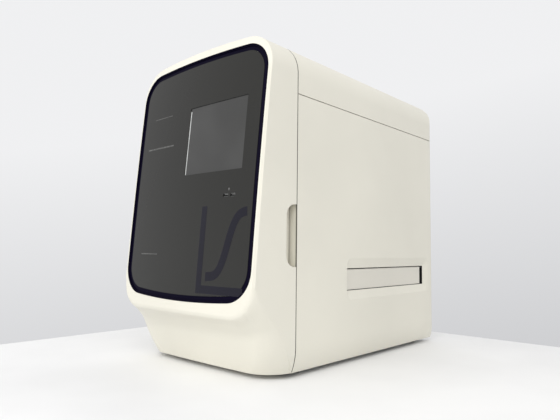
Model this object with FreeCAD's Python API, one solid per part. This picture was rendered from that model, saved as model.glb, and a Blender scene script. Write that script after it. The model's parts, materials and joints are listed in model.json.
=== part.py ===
import FreeCAD, Part
import math
import os

# Bench instrument that cycles and reads sample plates: a moulded front door with a glass panel,
# two side panels and a lid round a sheet frame, a plate arm that leaves by the right side, and the
# block, the heated cover and the optics in a column over the arm. Millimetres, +Z up, the front
# faces -Y, and the origin stands on the bench under the middle of the machine.

# Overall sizes
body_width = 461.0
body_depth = 789.0
body_height = 740.0
foot_height = 11.0
lip_reach = 139.0
wall = 3.5
seam_gap = 2.0
lid_seam_height = 612.0
seat = 0.2
running = 0.3

# Cross-section of the housing, seen from the front
corner_radius = 78.0
crown_radius = 2310.0
tuck_radius = 130.0
tuck_height = 66.0
rear_corner_radius = 18.0
rear_top_radius = 40.0
rounding_depth = 0.31
rear_frame = 25.0
rear_opening_top = 690.0

# Front face of the door: it leans back, bows and bulges
lip_height = 136.0
front_lean = 0.0901
front_bow_radius = 15000.0
front_bulge_radius = 4046.0
front_edge_radius = 7.0
chamfer_share = 0.6
split_height = 196.0

# Chin under the lip: height, setback of the face from the foremost point, plan corner radius
chin_sections = [
    (11.0, 70.0, 68.0),
    (36.0, 60.5, 60.0),
    (66.0, 53.5, 52.0),
    (91.0, 47.0, 53.0),
    (108.0, 39.5, 60.0),
    (118.0, 28.5, 68.0),
    (124.5, 14.0, 73.0),
    (129.5, 3.6, 73.0),
    (136.0, 0.0, 67.0),
    (150.0, 0.9, 50.0),
    (160.0, 1.6, 38.0),
    (172.0, 2.4, 26.0),
    (184.0, 3.4, 15.0),
]
# Half widths of the hollow behind the chin, each with its own distance back from the face
hollow_steps = [(172.0, 7.0), (196.0, 22.0), (208.0, 35.0), (214.0, 48.0), (224.0, 60.0)]

# Glass panel and its rim
lens_half_width_low = 221.0
lens_half_width_high = 224.0
lens_low = 167.7
lens_high = 712.0
lens_low_crown = 12.0
lens_high_crown = 7.7
lens_corner_radius = 67.0
rim_width = 13.0
rim_depth = 8.0
rim_steps = ((3.8, 4.0), (1.4, 2.0))
glass_recess = 3.0
ledge_width = 22.0
ledge_thickness = 4.0
ledge_overlap = 3.0
panel_fit = 0.4

# Touchscreen, sockets and lamp in the glass panel
screen_left = -18.6
screen_right = 171.0
screen_low = 440.0
screen_high = 601.0
screen_recess = 1.6
screen_glass = 2.0
display_depth = 16.0
display_border = 9.0
socket_xs = (129.1, 150.4)
sockets_below_screen = 54.6
socket_height = screen_low - sockets_below_screen
socket_opening = (14.4, 6.6)
socket_wall = 0.6
socket_length = 16.0
socket_front_inset = 0.6
socket_body_setback = 6.2
lamp_x = 137.0
lamp_over_sockets = 12.6
lamp_height = socket_height + lamp_over_sockets
lamp_radius = 3.0

# Door pull, hinge and catch
pull_low = 235.0
pull_high = 368.6
pull_reach = 33.0
pull_depth = 22.0
pull_corner = 26.0
pull_wall = 3.0
hinge_inset = 8.0
hinge_pin_radius = 2.5
hinge_bore_gap = 0.05
hinge_lug_radius = 6.0
hinge_heights = (126.0, body_height - 124.0)
hinge_arm_thickness = 6.0
hinge_lug_thickness = 9.0
hinge_arm_gap = 0.5
hinge_notch = 25.0
catch_heights = (140.0, body_height - 150.0)
catch_size = (12.0, 30.0)
catch_depth = 11.0
pocket_wall = 2.5
liner_thickness = 2.5
liner_setback = 3.0
flange_thickness = 3.0
liner_flange = 9.0
door_inside_left = 26.0
door_inside_right = 30.0
door_inside_low = 30.0
door_inside_drop = 35.0
liner_lap = 6.5

# Side opening, its dished surround and its flap
dish_front = 188.0
dish_rear = 616.0
dish_low = 151.0
dish_high = 254.0
dish_depth = 6.0
dish_corner = 20.0
slot_corner = 3.0
slot_front = 191.5
slot_rear = 588.0
slot_low = 174.5
slot_high = 228.0
flap_front = 194.4
flap_rear = 574.0
flap_low = 176.0
flap_high = 226.0
flap_recess = 8.0
flap_thickness = 5.0
flap_shell = 1.8
flap_pin_radius = 1.25
flap_pin_depth = 5.0
slot_frame_depth = 13.0
slot_frame_wall = 4.0

# Sheet frame, base and rear
sheet = 2.0
bulkhead_setback = 3.0
bulkhead_flange = 16.0
bay_half_width = 150.0
bay_low = 110.0
bay_high = 420.0
base_half_x = 214.0
rear_panel_half_x = 212.0
rear_panel_top = 697.0
deck_top = 98.0
deck_half_x = 205.0
deck_front = -60.0
deck_rear = 330.0
foot_radius = 18.0
foot_x = 175.0
foot_front = -205.0
foot_rear = 335.0
supply_x = (-192.0, -60.0)
supply_y = (195.0, 357.0)
supply_height = 62.0
supply_slots = 6
supply_slot = 8.0
supply_slot_pitch = 18.0
board_x = (20.0, 192.0)
board_y = (190.0, 385.0)
board_lift = 12.0
board_thickness = 1.6
chip_places = ((60, 230), (120, 250), (70, 300))
port_xs = (60.0, 92.0, 116.0)
port_sizes = ((16.0, 14.0), (14.4, 7.0), (14.4, 7.0))
inlet_x = -140.0
inlet_z = 74.0
inlet_half = (46.0, 16.0)
inlet_depth = 18.0
inlet_mouth = 11.0
inlet_pins = ((-7, -2), (0, 3), (7, -2))
rocker_x = -113.0
rocker_half = (6.5, 10.5)
rocker_tilt = 7.0
rocker_depth = 8.0
vent_rows = (150.0, 190.0, 230.0)
vent_xs = (-150.0, -90.0, -30.0, 30.0, 90.0, 150.0)
vent_half = (22.0, 4.0)
screw_head_radius = 3.6
screw_head_height = 1.8
screw_inset = 8.0
screw_heights = (40, 160, 300, 440, 580, 676)

# Plate arm, its rails and its rack drive
arm_center_from_seam = 379.75
arm_half_width = 95.0
arm_left = -216.0
arm_right = 80.0
arm_bottom = 180.0
arm_thickness = 5.0
arm_corner = 14.0
tongue = 5.0
tongue_thickness = 3.0
rail_low = 176.0
rail_high = 190.0
rail_width = 12.0
rail_end = 209.0
rail_leg_x = 182.0
plate_half_x = 42.75
plate_half_y = 63.9
nest_gap = 0.5
nest_wall = 11.0
nest_height = 6.0
nest_ledge = 6.0
finger_gap_radius = 14.0
gear_module = 1.5
pinion_teeth = 18
rack_teeth = 64
pressure_angle = math.radians(20)
gear_play = 0.12
rack_line = 86.0
rack_back = 93.0
rack_low = 175.6
pinion_x = 74.0
shaft_radius = 2.5
gearbox_radius = 17.0
motor_size = 42.0
motor_length = 38.0

# Thermal block, its cooler and the heated cover
block_half = (41.0, 60.0)
block_top = 176.0
block_height = 22.0
block_recess = 3.0
cooler_half = (50.0, 62.0)
cooler_base = 8.0
fin_count = 13
fin_thickness = 1.6
tile_half = 19.0
tile_height = 3.8
cover_bottom = 222.0
cover_thickness = 16.0
cover_half = (62.0, 74.0)
cover_slots = 6
guide_at = (50.0, 64.0)
guide_radius = 4.0
guide_length = 84.0
screw_radius = 4.0
screw_x = -84.0
screw_length = 140.0
bridge_bottom = 286.0
bridge_thickness = 4.0
bridge_half = (122.0, 134.0)

# Optics column
optics_height = 380.0
optics_half_x = 200.0
optics_sheet = 3.0
optics_post = (180.0, 150.0)
post_radius = 8.0
shroud_half = (42.0, 62.0)
shroud_straight = 90.0
shroud_height = 146.0
shroud_mouth = 25.0
shroud_wall = 3.0
beam_height = 430.0
beam_radius = 15.0
tower_half_x = 95.0
tower_half_y = 40.0
tower_sheet = 4.0
shelf_height = 556.0
shelf_rear = 110.0
camera_half = 27.0
camera_length = 62.0
camera_lens_radius = 20.0
camera_lens_length = 12.0
wheel_thickness = 4.0
wheel_hub = 9.0
filter_radius = 15.0
filter_count = 6
emission_wheel_radius = 72.0
emission_circle = 50.0
emission_height = 534.0
exciter_wheel_radius = 60.0
exciter_circle = 42.0
exciter_x = -72.0
lamp_x_far = -198.0
lamp_half_y = 45.0
lamp_top = 448.0
lamp_grooves = 8
lamp_groove_pitch = 9.0
lamp_groove = 5.0
lamp_fin = 14.0

# Fans
fan_size = 92.0
fan_depth = 25.0
fan_bore = 43.0
fan_hub = 17.0
fan_blades = 7
fan_pitch = 35.0
fan_z = 560.0
fan_x = 105.0
cooler_fan_size = 76.0
cooler_fan_bore = 35.0
blade_gap = 1.5
blade_thickness = 1.6
guard_bar = 2.0
guard_radii = (20.0, 38.0)

half_width = body_width / 2
half_depth = body_depth / 2
seam_y = -half_depth + lip_reach
rear_y = half_depth
housing_front_y = seam_y + seam_gap / 2
door_rear_y = seam_y - seam_gap / 2
bulkhead_y = seam_y + bulkhead_setback
arm_center_y = seam_y + arm_center_from_seam
bulge_axis_y = -half_depth + front_bulge_radius
far = 2 * body_depth

X = FreeCAD.Vector(1, 0, 0)
Y = FreeCAD.Vector(0, 1, 0)
Z = FreeCAD.Vector(0, 0, 1)


def at(x, y, z):
    return FreeCAD.Vector(x, y, z)


def block(x, y, z):
    """Box between the two values given for each axis."""
    return Part.makeBox(x[1] - x[0], y[1] - y[0], z[1] - z[0], at(x[0], y[0], z[0]))


def rod(start, along, radius, length):
    return Part.makeCylinder(radius, length, start, along)


def ring(start, along, outer, inner, length):
    return rod(start, along, outer, length).cut(rod(start, along, inner, length))


def joined(solids):
    whole = solids[0]
    for solid in solids[1:]:
        whole = whole.fuse(solid)
    return whole.removeSplitter()


def without(solid, cutters):
    for cutter in cutters:
        solid = solid.cut(cutter)
    return solid


def rounded(x, y, z, along, radius):
    """Box whose four edges along one axis are rounded."""
    solid = block(x, y, z)
    edges = [e for e in solid.Edges if abs(e.tangentAt(e.FirstParameter).dot(along)) > 0.99]
    return solid.makeFillet(radius, edges)


def prism(points, along):
    """Straight-sided outline through the points, extruded."""
    return Part.Face(Part.makePolygon(points + points[:1])).extrude(along)


def line(a, b):
    return Part.LineSegment(a, b).toShape()


def arc(a, b, c):
    return Part.Arc(a, b, c).toShape()


def housing_outline(inset, y):
    """Cross-section of the housing: tucked in at the foot, rounded corners and a crowned top."""
    half = half_width - inset
    foot = foot_height + inset
    tuck = tuck_radius - inset
    tuck_center = half_width - tuck_radius
    corner = corner_radius - inset
    corner_x = half_width - corner_radius
    crown_center = body_height - crown_radius
    corner_z = crown_center + math.sqrt((crown_radius - corner_radius) ** 2 - corner_x ** 2)
    lean = math.atan2(corner_x, corner_z - crown_center)
    bend = (math.pi / 2 - lean) / 2
    foot_angle = math.asin((tuck_height - foot) / tuck)
    foot_x = tuck_center + tuck * math.cos(foot_angle)
    mid_x = tuck_center + tuck * math.cos(foot_angle / 2)
    mid_z = tuck_height - tuck * math.sin(foot_angle / 2)
    shoulder_x = corner_x + corner * math.sin(lean)
    shoulder_z = corner_z + corner * math.cos(lean)
    bend_x = corner_x + corner * math.cos(bend)
    bend_z = corner_z + corner * math.sin(bend)

    def half_of(side):
        return [
            arc(at(side * foot_x, y, foot), at(side * mid_x, y, mid_z), at(side * half, y, tuck_height)),
            line(at(side * half, y, tuck_height), at(side * half, y, corner_z)),
            arc(at(side * half, y, corner_z), at(side * bend_x, y, bend_z),
                at(side * shoulder_x, y, shoulder_z)),
        ]

    top = arc(at(shoulder_x, y, shoulder_z), at(0, y, body_height - inset),
              at(-shoulder_x, y, shoulder_z))
    floor = line(at(-foot_x, y, foot), at(foot_x, y, foot))
    return Part.Wire(Part.__sortEdges__(half_of(1) + [top] + half_of(-1) + [floor]))


def housing_block(inset, y0, y1):
    return Part.Face(housing_outline(inset, y0)).extrude(Y * (y1 - y0))


def front_circle():
    """Centre and radius of the bowed front line in the middle plane."""
    rise = body_height - lip_height
    run = rise * front_lean
    chord = math.hypot(rise, run)
    sag = math.sqrt(front_bow_radius ** 2 - (chord / 2) ** 2)
    mid_y = -half_depth + run / 2
    mid_z = lip_height + rise / 2
    return mid_y + sag * rise / chord, mid_z - sag * run / chord


def front_y(z, depth):
    """Place of the front face in the middle plane at a height, or of a layer that deep below it."""
    center_y, center_z = front_circle()
    return center_y - math.sqrt((front_bow_radius - depth) ** 2 - (z - center_z) ** 2)


def bulge_back(x):
    """How far the front face lies behind its middle plane at a place off the middle."""
    return front_bulge_radius - math.sqrt(front_bulge_radius ** 2 - x ** 2)


def turned_about_bulge(face):
    """Sweep a middle-plane face sideways about the upright axis of the door's bulge."""
    axis = at(0, bulge_axis_y, 0)
    sweep = math.degrees(half_width / front_bulge_radius) + 2
    start = face.copy()
    start.rotate(axis, Z, -sweep)
    return start.revolve(axis, Z, 2 * sweep)


def front_layer(depth0, depth1, z0, z1):
    """Curved layer between two depths below the front face."""
    middle = (z0 + z1) / 2
    outer = [at(0, front_y(z, depth0), z) for z in (z0, middle, z1)]
    inner = [at(0, front_y(z, depth1), z) for z in (z1, middle, z0)]
    edges = [arc(*outer), line(outer[2], inner[0]), arc(*inner), line(inner[2], outer[0])]
    return turned_about_bulge(Part.Face(Part.Wire(edges)))


def plan_section(z, face_y, corner, half, back_y):
    """Level section of the door: bulged front, two round corners, straight sides."""
    radius = bulge_axis_y - face_y
    center_x = half - corner
    center_y = bulge_axis_y - math.sqrt((radius - corner) ** 2 - center_x ** 2)
    reach = radius / (radius - corner)
    touch_x = center_x * reach
    touch_y = bulge_axis_y + (center_y - bulge_axis_y) * reach
    turn = math.atan2(bulge_axis_y - touch_y, touch_x)
    bend_x = center_x + corner * math.cos(turn / 2)
    bend_y = center_y - corner * math.sin(turn / 2)
    edges = [
        line(at(half, back_y, z), at(half, center_y, z)),
        arc(at(half, center_y, z), at(bend_x, bend_y, z), at(touch_x, touch_y, z)),
        arc(at(touch_x, touch_y, z), at(0, face_y, z), at(-touch_x, touch_y, z)),
        arc(at(-touch_x, touch_y, z), at(-bend_x, bend_y, z), at(-half, center_y, z)),
        line(at(-half, center_y, z), at(-half, back_y, z)),
        line(at(-half, back_y, z), at(half, back_y, z)),
    ]
    return Part.Wire(edges)


def smoothed(rows):
    """The rows with one more between each two, on a smooth curve through their neighbours."""
    full = [rows[0]]
    for index in range(len(rows) - 1):
        before = rows[max(index - 1, 0)]
        after = rows[min(index + 2, len(rows) - 1)]
        pairs = zip(before, rows[index], rows[index + 1], after)
        full.append(tuple((9 * (b + c) - a - d) / 16 for a, b, c, d in pairs))
        full.append(rows[index + 1])
    return full


def chin(back_y):
    """Lower part of the door: lip, hollow sweep under it and the foot, through level sections."""
    wires = []
    for z, setback, corner in smoothed(chin_sections):
        drop = max(tuck_height - z, 0)
        half = half_width - tuck_radius + math.sqrt(tuck_radius ** 2 - drop ** 2)
        wires.append(plan_section(z, setback - half_depth, corner, half, back_y))
    face_y = front_y(split_height, 0)
    wires.append(plan_section(split_height, face_y, front_edge_radius, half_width, back_y))
    return Part.makeLoft(wires, True, True)


def leaning_block(inset, back_y):
    """Everything behind the front face, above the height where the lip ends."""
    top = body_height + corner_radius
    middle = (split_height + top) / 2
    deep_y = back_y + corner_radius
    low = at(0, front_y(split_height, inset), split_height)
    high = at(0, front_y(top, inset), top)
    edges = [
        arc(low, at(0, front_y(middle, inset), middle), high),
        line(high, at(0, deep_y, top)),
        line(at(0, deep_y, top), at(0, deep_y, split_height)),
        line(at(0, deep_y, split_height), low),
    ]
    return turned_about_bulge(Part.Face(Part.Wire(edges)))


def door_head(back_y):
    """Upper part of the door, cut from the housing's cross-section by the front face."""
    solid = housing_block(0, -half_depth - 1, back_y).common(leaning_block(0, back_y))
    front = min(solid.Faces, key=lambda face: face.CenterOfMass.y)
    rim = [e for e in front.Edges if e.BoundBox.ZMax > split_height + 1]
    return solid.makeChamfer(front_edge_radius * chamfer_share, rim)


def door_hollow(back_y):
    """Inside of the door: the leaning front above, and the chin in steps round its corners."""
    cavity = housing_block(wall + 0.5, -half_depth - 1, back_y)
    hollow = leaning_block(wall, back_y).common(cavity)
    rows = [(z, setback - half_depth) for z, setback, corner in chin_sections]
    rows.append((split_height, front_y(split_height, 0)))
    for half, shift in hollow_steps:
        outline = [at(-half, back_y, rows[0][0])]
        for (low_z, low_y), (high_z, high_y) in zip(rows, rows[1:]):
            length = math.hypot(high_z - low_z, high_y - low_y)
            inward_y = (high_z - low_z) / length * wall
            inward_z = (low_y - high_y) / length * wall
            outline.append(at(-half, (low_y + high_y) / 2 + inward_y + shift,
                              (low_z + high_z) / 2 + inward_z))
        outline[1].z = rows[0][0]
        outline.append(at(-half, front_y(split_height, shift) + wall, split_height + 1))
        outline.append(at(-half, back_y, split_height + 1))
        hollow = hollow.fuse(prism(outline, X * (2 * half)).common(cavity))
    return hollow


def lens_block(inset, y0, y1):
    """Outline of the glass panel, drawn in by an inset, as a block through the door's front."""
    low = lens_half_width_low - inset
    high = lens_half_width_high - inset
    bottom = lens_low + inset
    top = lens_high - inset
    edges = [
        line(at(low, y0, bottom), at(high, y0, top)),
        arc(at(high, y0, top), at(0, y0, top + lens_high_crown), at(-high, y0, top)),
        line(at(-high, y0, top), at(-low, y0, bottom)),
        arc(at(-low, y0, bottom), at(0, y0, bottom - lens_low_crown), at(low, y0, bottom)),
    ]
    solid = Part.Face(Part.Wire(edges)).extrude(Y * (y1 - y0))
    corners = [e for e in solid.Edges if abs(e.tangentAt(e.FirstParameter).y) > 0.99]
    return solid.makeFillet(lens_corner_radius - inset, corners)


above_face = 4.0
lens_front_y = -half_depth - 5
lens_back_y = seam_y - 40
layer_low = 120.0
layer_high = 736.0


def lens_layer(depth0, depth1, inset):
    """Piece of the front layers within the glass panel's outline."""
    return front_layer(depth0, depth1, layer_low, layer_high).common(
        lens_block(inset, lens_front_y, lens_back_y))


def stadium_cut(x, low, high, front, back, corner):
    """Block with rounded front corners, seen from the side."""
    edges_at = block(x, (front, back), (low, high))
    edges = [e for e in edges_at.Edges
             if abs(e.tangentAt(e.FirstParameter).x) > 0.99 and e.CenterOfMass.y < front + 0.1]
    return edges_at.makeFillet(corner, edges)


hinge_x = -half_width + hinge_inset
hinge_y = seam_y - hinge_inset


def door_shell():
    outer = chin(door_rear_y).fuse(door_head(door_rear_y)).removeSplitter()
    inner = door_hollow(seam_y + 10)
    shell = outer.cut(inner)
    # ledge behind the glass panel, joined to the front wall
    ledge_depth = rim_depth + seat
    ledge = lens_layer(ledge_depth, ledge_depth + ledge_thickness, -ledge_overlap).common(outer)
    wall_band = lens_layer(wall - 0.5, ledge_depth + ledge_thickness, -ledge_overlap)
    wall_band = wall_band.cut(lens_block(panel_fit + 1, lens_front_y, lens_back_y)).common(outer)
    shell = shell.fuse(ledge).fuse(wall_band)
    shell = shell.cut(lens_layer(-above_face, rim_depth + seat, -panel_fit))
    shell = shell.cut(lens_block(ledge_width, lens_front_y, lens_back_y))
    # flange that carries the inner cover
    flange_rear = door_rear_y - liner_setback - liner_thickness - seat
    flange_y = (flange_rear - flange_thickness, flange_rear)
    flange = block((-far, far), flange_y, (0, far)).common(outer)
    opening = housing_block(wall + liner_flange, -half_depth, rear_y)
    hollow = block((-half_width + door_inside_left, half_width - door_inside_right), (-half_depth, rear_y),
                   (door_inside_low, body_height - door_inside_drop)).common(opening)
    shell = shell.fuse(flange.cut(hollow))
    # pull in the right flank, open at the seam
    pull_x = (half_width - pull_depth, half_width + 1)
    pull = stadium_cut(pull_x, pull_low, pull_high, seam_y - pull_reach, seam_y + 1, pull_corner)
    cup_x = (half_width - pull_depth - pull_wall, half_width - wall / 2)
    cup = stadium_cut(cup_x, pull_low - pull_wall, pull_high + pull_wall,
                      seam_y - pull_reach - pull_wall, door_rear_y, pull_corner + pull_wall)
    shell = shell.fuse(cup).cut(pull)
    # hinge lugs above and below each arm, and the rounded edge that turns past the housing
    for height in hinge_heights:
        for side in (-1, 1):
            low = height + side * (hinge_arm_thickness / 2 + hinge_arm_gap)
            low = low - (hinge_lug_thickness if side < 0 else 0)
            lug = rod(at(hinge_x, hinge_y, low), Z, hinge_lug_radius, hinge_lug_thickness)
            root = block((-half_width + wall / 2, hinge_x),
                         (hinge_y - hinge_lug_radius, hinge_y + hinge_lug_radius),
                         (low, low + hinge_lug_thickness))
            shell = shell.fuse(lug).fuse(root)
    edge = block((-far, hinge_x), (hinge_y, seam_y + 20), (0, far))
    shell = shell.cut(edge.cut(rod(at(hinge_x, hinge_y, 0), Z, hinge_inset, far)))
    for height in hinge_heights:
        notch_half = hinge_arm_thickness / 2 + hinge_arm_gap
        shell = shell.cut(block((-half_width - 1, hinge_x + hinge_notch), (hinge_y - 7, seam_y + 20),
                                (height - notch_half, height + notch_half)))
        bore = rod(at(hinge_x, hinge_y, height - far / 2), Z, hinge_pin_radius + hinge_bore_gap, far)
        span = block((hinge_x - hinge_lug_radius, hinge_x + hinge_lug_radius),
                     (hinge_y - hinge_lug_radius, hinge_y + hinge_lug_radius),
                     (height - 30, height + 30))
        shell = shell.cut(bore.common(span))
    # pockets for the magnets of the catch
    for height in catch_heights:
        shell = shell.fuse(block(catch_x_range(pocket_wall), (door_rear_y - catch_depth - 3, door_rear_y),
                                 (height - pocket_wall, height + catch_size[1] + pocket_wall)))
        shell = shell.cut(block(catch_x_range(seat), (door_rear_y - catch_depth, door_rear_y + 1),
                                (height - seat, height + catch_size[1] + seat)))
    return shell.removeSplitter()


def catch_x_range(margin):
    """Sideways reach of a catch magnet with a margin round it."""
    outer = half_width - wall - 3
    return outer - catch_size[0] - margin, outer + margin


def lens_rim():
    """Band round the glass panel that steps down towards the glass."""
    band = lens_layer(seat, rim_depth, 0).cut(lens_block(rim_width, lens_front_y, lens_back_y))
    for depth, inset in rim_steps:
        band = band.cut(lens_layer(-above_face, depth, inset))
    return band


def lens_panel():
    glass = lens_layer(glass_recess, rim_depth, rim_width + panel_fit)
    window = block((screen_left, screen_right), (lens_front_y, lens_back_y), (screen_low, screen_high))
    glass = glass.cut(window)
    half_x = socket_opening[0] / 2 + seat
    half_z = socket_opening[1] / 2 + seat
    for x in socket_xs:
        glass = glass.cut(block((x - half_x, x + half_x), (lens_front_y, lens_back_y),
                                (socket_height - half_z, socket_height + half_z)))
    return glass.cut(rod(at(lamp_x, lens_front_y, lamp_height), Y, lamp_radius + 0.1, 60))


def touchscreen():
    reach = block((screen_left + 0.2, screen_right - 0.2), (lens_front_y, lens_back_y),
                  (screen_low + 0.2, screen_high - 0.2))
    depth = glass_recess + screen_recess
    return front_layer(depth, depth + screen_glass, layer_low, layer_high).common(reach)


def screen_frame():
    depth = glass_recess + screen_recess + screen_glass
    reach = block((screen_left - display_border, screen_right + display_border),
                  (lens_front_y, lens_back_y), (screen_low - display_border, screen_high + display_border))
    back = front_layer(rim_depth + seat, rim_depth + seat + display_depth, layer_low, layer_high)
    inner = block((screen_left + 0.4, screen_right - 0.4), (lens_front_y, lens_back_y),
                  (screen_low + 0.4, screen_high - 0.4))
    pad = front_layer(depth + seat, rim_depth + seat + 1, layer_low, layer_high).common(inner)
    return back.common(reach).fuse(pad).removeSplitter()


def usb_sockets():
    """Metal shell with its tongue for each socket, one solid each."""
    sockets = []
    for x in socket_xs:
        y0 = front_y(socket_height, glass_recess) + bulge_back(x) + socket_body_setback
        half_x = socket_opening[0] / 2
        half_z = socket_opening[1] / 2
        shell = rounded((x - half_x, x + half_x),
                        (y0 + socket_front_inset - socket_body_setback, y0 + socket_length),
                        (socket_height - half_z, socket_height + half_z), Y, 0.8)
        hollow = block((x - half_x + socket_wall, x + half_x - socket_wall),
                       (y0 - 6.6, y0 + socket_length - 2),
                       (socket_height - half_z + socket_wall, socket_height + half_z - socket_wall))
        tongue_bar = block((x - 5.6, x + 5.6), (y0 - 4, y0 + socket_length - 1),
                           (socket_height + 0.3, socket_height + 2.1))
        sockets.append(shell.cut(hollow).fuse(tongue_bar).removeSplitter())
    return Part.makeCompound(sockets)


def socket_board():
    y0 = front_y(socket_height, glass_recess) + bulge_back(socket_xs[1]) + socket_body_setback
    y0 = y0 + socket_length + seat
    span = (socket_xs[0] - 16, socket_xs[1] + 16)
    board = block(span, (y0, y0 + 1.6), (socket_height - 14, lamp_height + 10))
    legs = []
    for x in (span[0] + 4, span[1] - 4):
        start = front_y(socket_height - 9, rim_depth) + bulge_back(x + 3) + seat
        legs.append(rod(at(x, start, socket_height - 9), Y, 2.5, y0 - start))
    return joined([board] + legs)


def status_lamp():
    y0 = front_y(lamp_height, glass_recess) + bulge_back(lamp_x)
    return rod(at(lamp_x, y0 + 0.6, lamp_height), Y, lamp_radius, 14)


def door_liner():
    """Flat inner cover of the door, clear of the pull, the lugs and the magnets."""
    y1 = door_rear_y - liner_setback
    plate = block((-half_width + door_inside_left - 4, half_width - pull_depth - pull_wall - 3),
                  (y1 - liner_thickness, y1),
                  (door_inside_low - liner_lap, body_height - door_inside_drop + liner_lap))
    plate = plate.common(housing_block(wall + 4, -half_depth, rear_y))
    return plate


def catch_magnets():
    return Part.makeCompound([
        block(catch_x_range(0), (door_rear_y - catch_depth + seat, seam_y + seat),
              (height, height + catch_size[1]))
        for height in catch_heights])


def catch_strikers():
    return Part.makeCompound([
        block(catch_x_range(0), (seam_y + seat + running, bulkhead_y), (height, height + catch_size[1]))
        for height in catch_heights])


def hinge_arms():
    arms = []
    for height in hinge_heights:
        low = height - hinge_arm_thickness / 2
        eye = rod(at(hinge_x, hinge_y, low), Z, hinge_lug_radius - 2, hinge_arm_thickness)
        arm = block((hinge_x - hinge_lug_radius + 2, hinge_x + 14), (hinge_y, bulkhead_y),
                    (low, low + hinge_arm_thickness))
        foot = block((hinge_x - hinge_lug_radius + 2.3, hinge_x + 22), (bulkhead_y - 2, bulkhead_y),
                     (low - 12, low + hinge_arm_thickness + 12))
        whole = joined([eye, arm, foot])
        bore = rod(at(hinge_x, hinge_y, low - 1), Z, hinge_pin_radius + hinge_bore_gap,
                   hinge_arm_thickness + 2)
        arms.append(whole.cut(bore))
    return Part.makeCompound(arms)


def hinge_pins():
    reach = hinge_arm_thickness / 2 + hinge_arm_gap + hinge_lug_thickness
    pins = []
    for height in hinge_heights:
        pins.append(rod(at(hinge_x, hinge_y, height - reach), Z, hinge_pin_radius, 2 * reach))
    return Part.makeCompound(pins)


def corner_cut(start, middle, end, outside, along):
    """Waste beyond a rounded corner, between its arc and a point outside it."""
    edges = [arc(start, middle, end), line(end, outside), line(outside, start)]
    return Part.Face(Part.Wire(edges)).extrude(along)


def housing_form(inset, y0):
    """Housing with its upright rear corners and its rear top edge rounded."""
    back = rear_y - inset
    solid = housing_block(inset, y0, back)
    radius = rear_corner_radius - inset
    slant = radius * rounding_depth
    for side in (-1, 1):
        half = side * (half_width - inset)
        solid = solid.cut(corner_cut(
            at(half, back - radius, 0), at(half - side * slant, back - slant, 0),
            at(half - side * radius, back, 0), at(half + side * radius, back + radius, 0), Z * far))
    top = body_height - inset
    crest = rear_top_radius - inset
    drop = crest * rounding_depth
    return solid.cut(corner_cut(
        at(-far, back - crest - 3, top + 1), at(-far, back - drop, top - drop),
        at(-far, back, top - crest), at(-far, back + crest, top + crest), X * (2 * far)))


def housing_shell():
    """Side panels and lid in one piece, before they are parted at the seams."""
    shell = housing_form(0, housing_front_y).cut(housing_form(wall, housing_front_y - 5))
    inner_half = half_width - rear_frame
    shell = shell.cut(block((-inner_half, inner_half), (-far, far), (0, foot_height + wall + 1)))
    return shell.cut(block((-inner_half, inner_half), (rear_y - 60, far), (0, rear_opening_top)))


shell_of_housing = housing_shell()
panel_top = lid_seam_height - seam_gap / 2
lid_bottom = lid_seam_height + seam_gap / 2


def left_side_panel():
    return shell_of_housing.common(block((-far, 0), (-far, far), (0, panel_top)))


def right_side_panel():
    """Side panel with a dished surround that leads to the plate opening."""
    panel = shell_of_housing.common(block((0, far), (-far, far), (0, panel_top)))
    dish_outer = dish_solid(0)
    dish_backing = dish_solid(wall)
    panel = panel.fuse(dish_backing).cut(dish_outer)
    slot_y = (seam_y + slot_front, seam_y + slot_rear)
    slot = rounded((half_width - 40, half_width + 1), slot_y, (slot_low, slot_high), X, 2)
    frame_x = (half_width - dish_depth - slot_frame_depth, half_width - dish_depth - 0.1)
    frame = rounded(frame_x, (slot_y[0] - slot_frame_wall, slot_y[1] + slot_frame_wall),
                    (slot_low - slot_frame_wall, slot_high + slot_frame_wall), X, slot_frame_wall)
    panel = panel.fuse(frame).cut(slot)
    bore = rod(at(flap_axis_x, slot_y[0] - slot_frame_wall + 0.8, flap_axis_z), Y,
               flap_pin_radius + hinge_bore_gap, slot_y[1] - slot_y[0] + 2 * slot_frame_wall - 1.6)
    return panel.cut(bore).removeSplitter()


flap_axis_x = half_width - flap_recess - flap_thickness / 2
flap_axis_z = flap_high - flap_thickness / 2


def dish_solid(grow):
    """Hollow pressed into the side: sloping walls down to the level round the flap."""
    mouth_x = half_width - wall / 2 if grow else half_width + 0.5
    foot_x = half_width - dish_depth - grow
    mouth = side_outline(mouth_x, (dish_front, dish_rear), (dish_low, dish_high), grow, dish_corner)
    foot = side_outline(foot_x, (slot_front, slot_rear), (slot_low, slot_high), grow + 1, slot_corner)
    return Part.makeLoft([mouth, foot], True, True)


def side_outline(x, y, z, grow, corner):
    """Rectangle with round corners in a plane along the side of the housing."""
    radius = corner + grow
    near = radius * (1 - math.sqrt(0.5))
    y0, y1 = (seam_y + y[0] - grow, seam_y + y[1] + grow)
    z0, z1 = (z[0] - grow, z[1] + grow)
    edges = []
    for (ya, za), (yb, zb) in (((y0, z0), (y1, z0)), ((y1, z0), (y1, z1)),
                               ((y1, z1), (y0, z1)), ((y0, z1), (y0, z0))):
        along_y = (yb > ya) - (yb < ya)
        along_z = (zb > za) - (zb < za)
        end = at(x, yb - along_y * radius, zb - along_z * radius)
        edges.append(line(at(x, ya + along_y * radius, za + along_z * radius), end))
        edges.append(arc(end,
                         at(x, yb - (along_y + along_z) * near, zb - (along_z - along_y) * near),
                         at(x, yb - along_z * radius, zb + along_y * radius)))
    return Part.Wire(edges)


def flat_faced(low, high):
    """Solid with flat sides between two four-sided outlines."""
    faces = [Part.Face(Part.makePolygon(ends + ends[:1])) for ends in (low, high)]
    for index in range(4):
        after = (index + 1) % 4
        side = [low[index], low[after], high[after], high[index]]
        faces.append(Part.Face(Part.makePolygon(side + side[:1])))
    return Part.makeSolid(Part.makeShell(faces))


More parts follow.
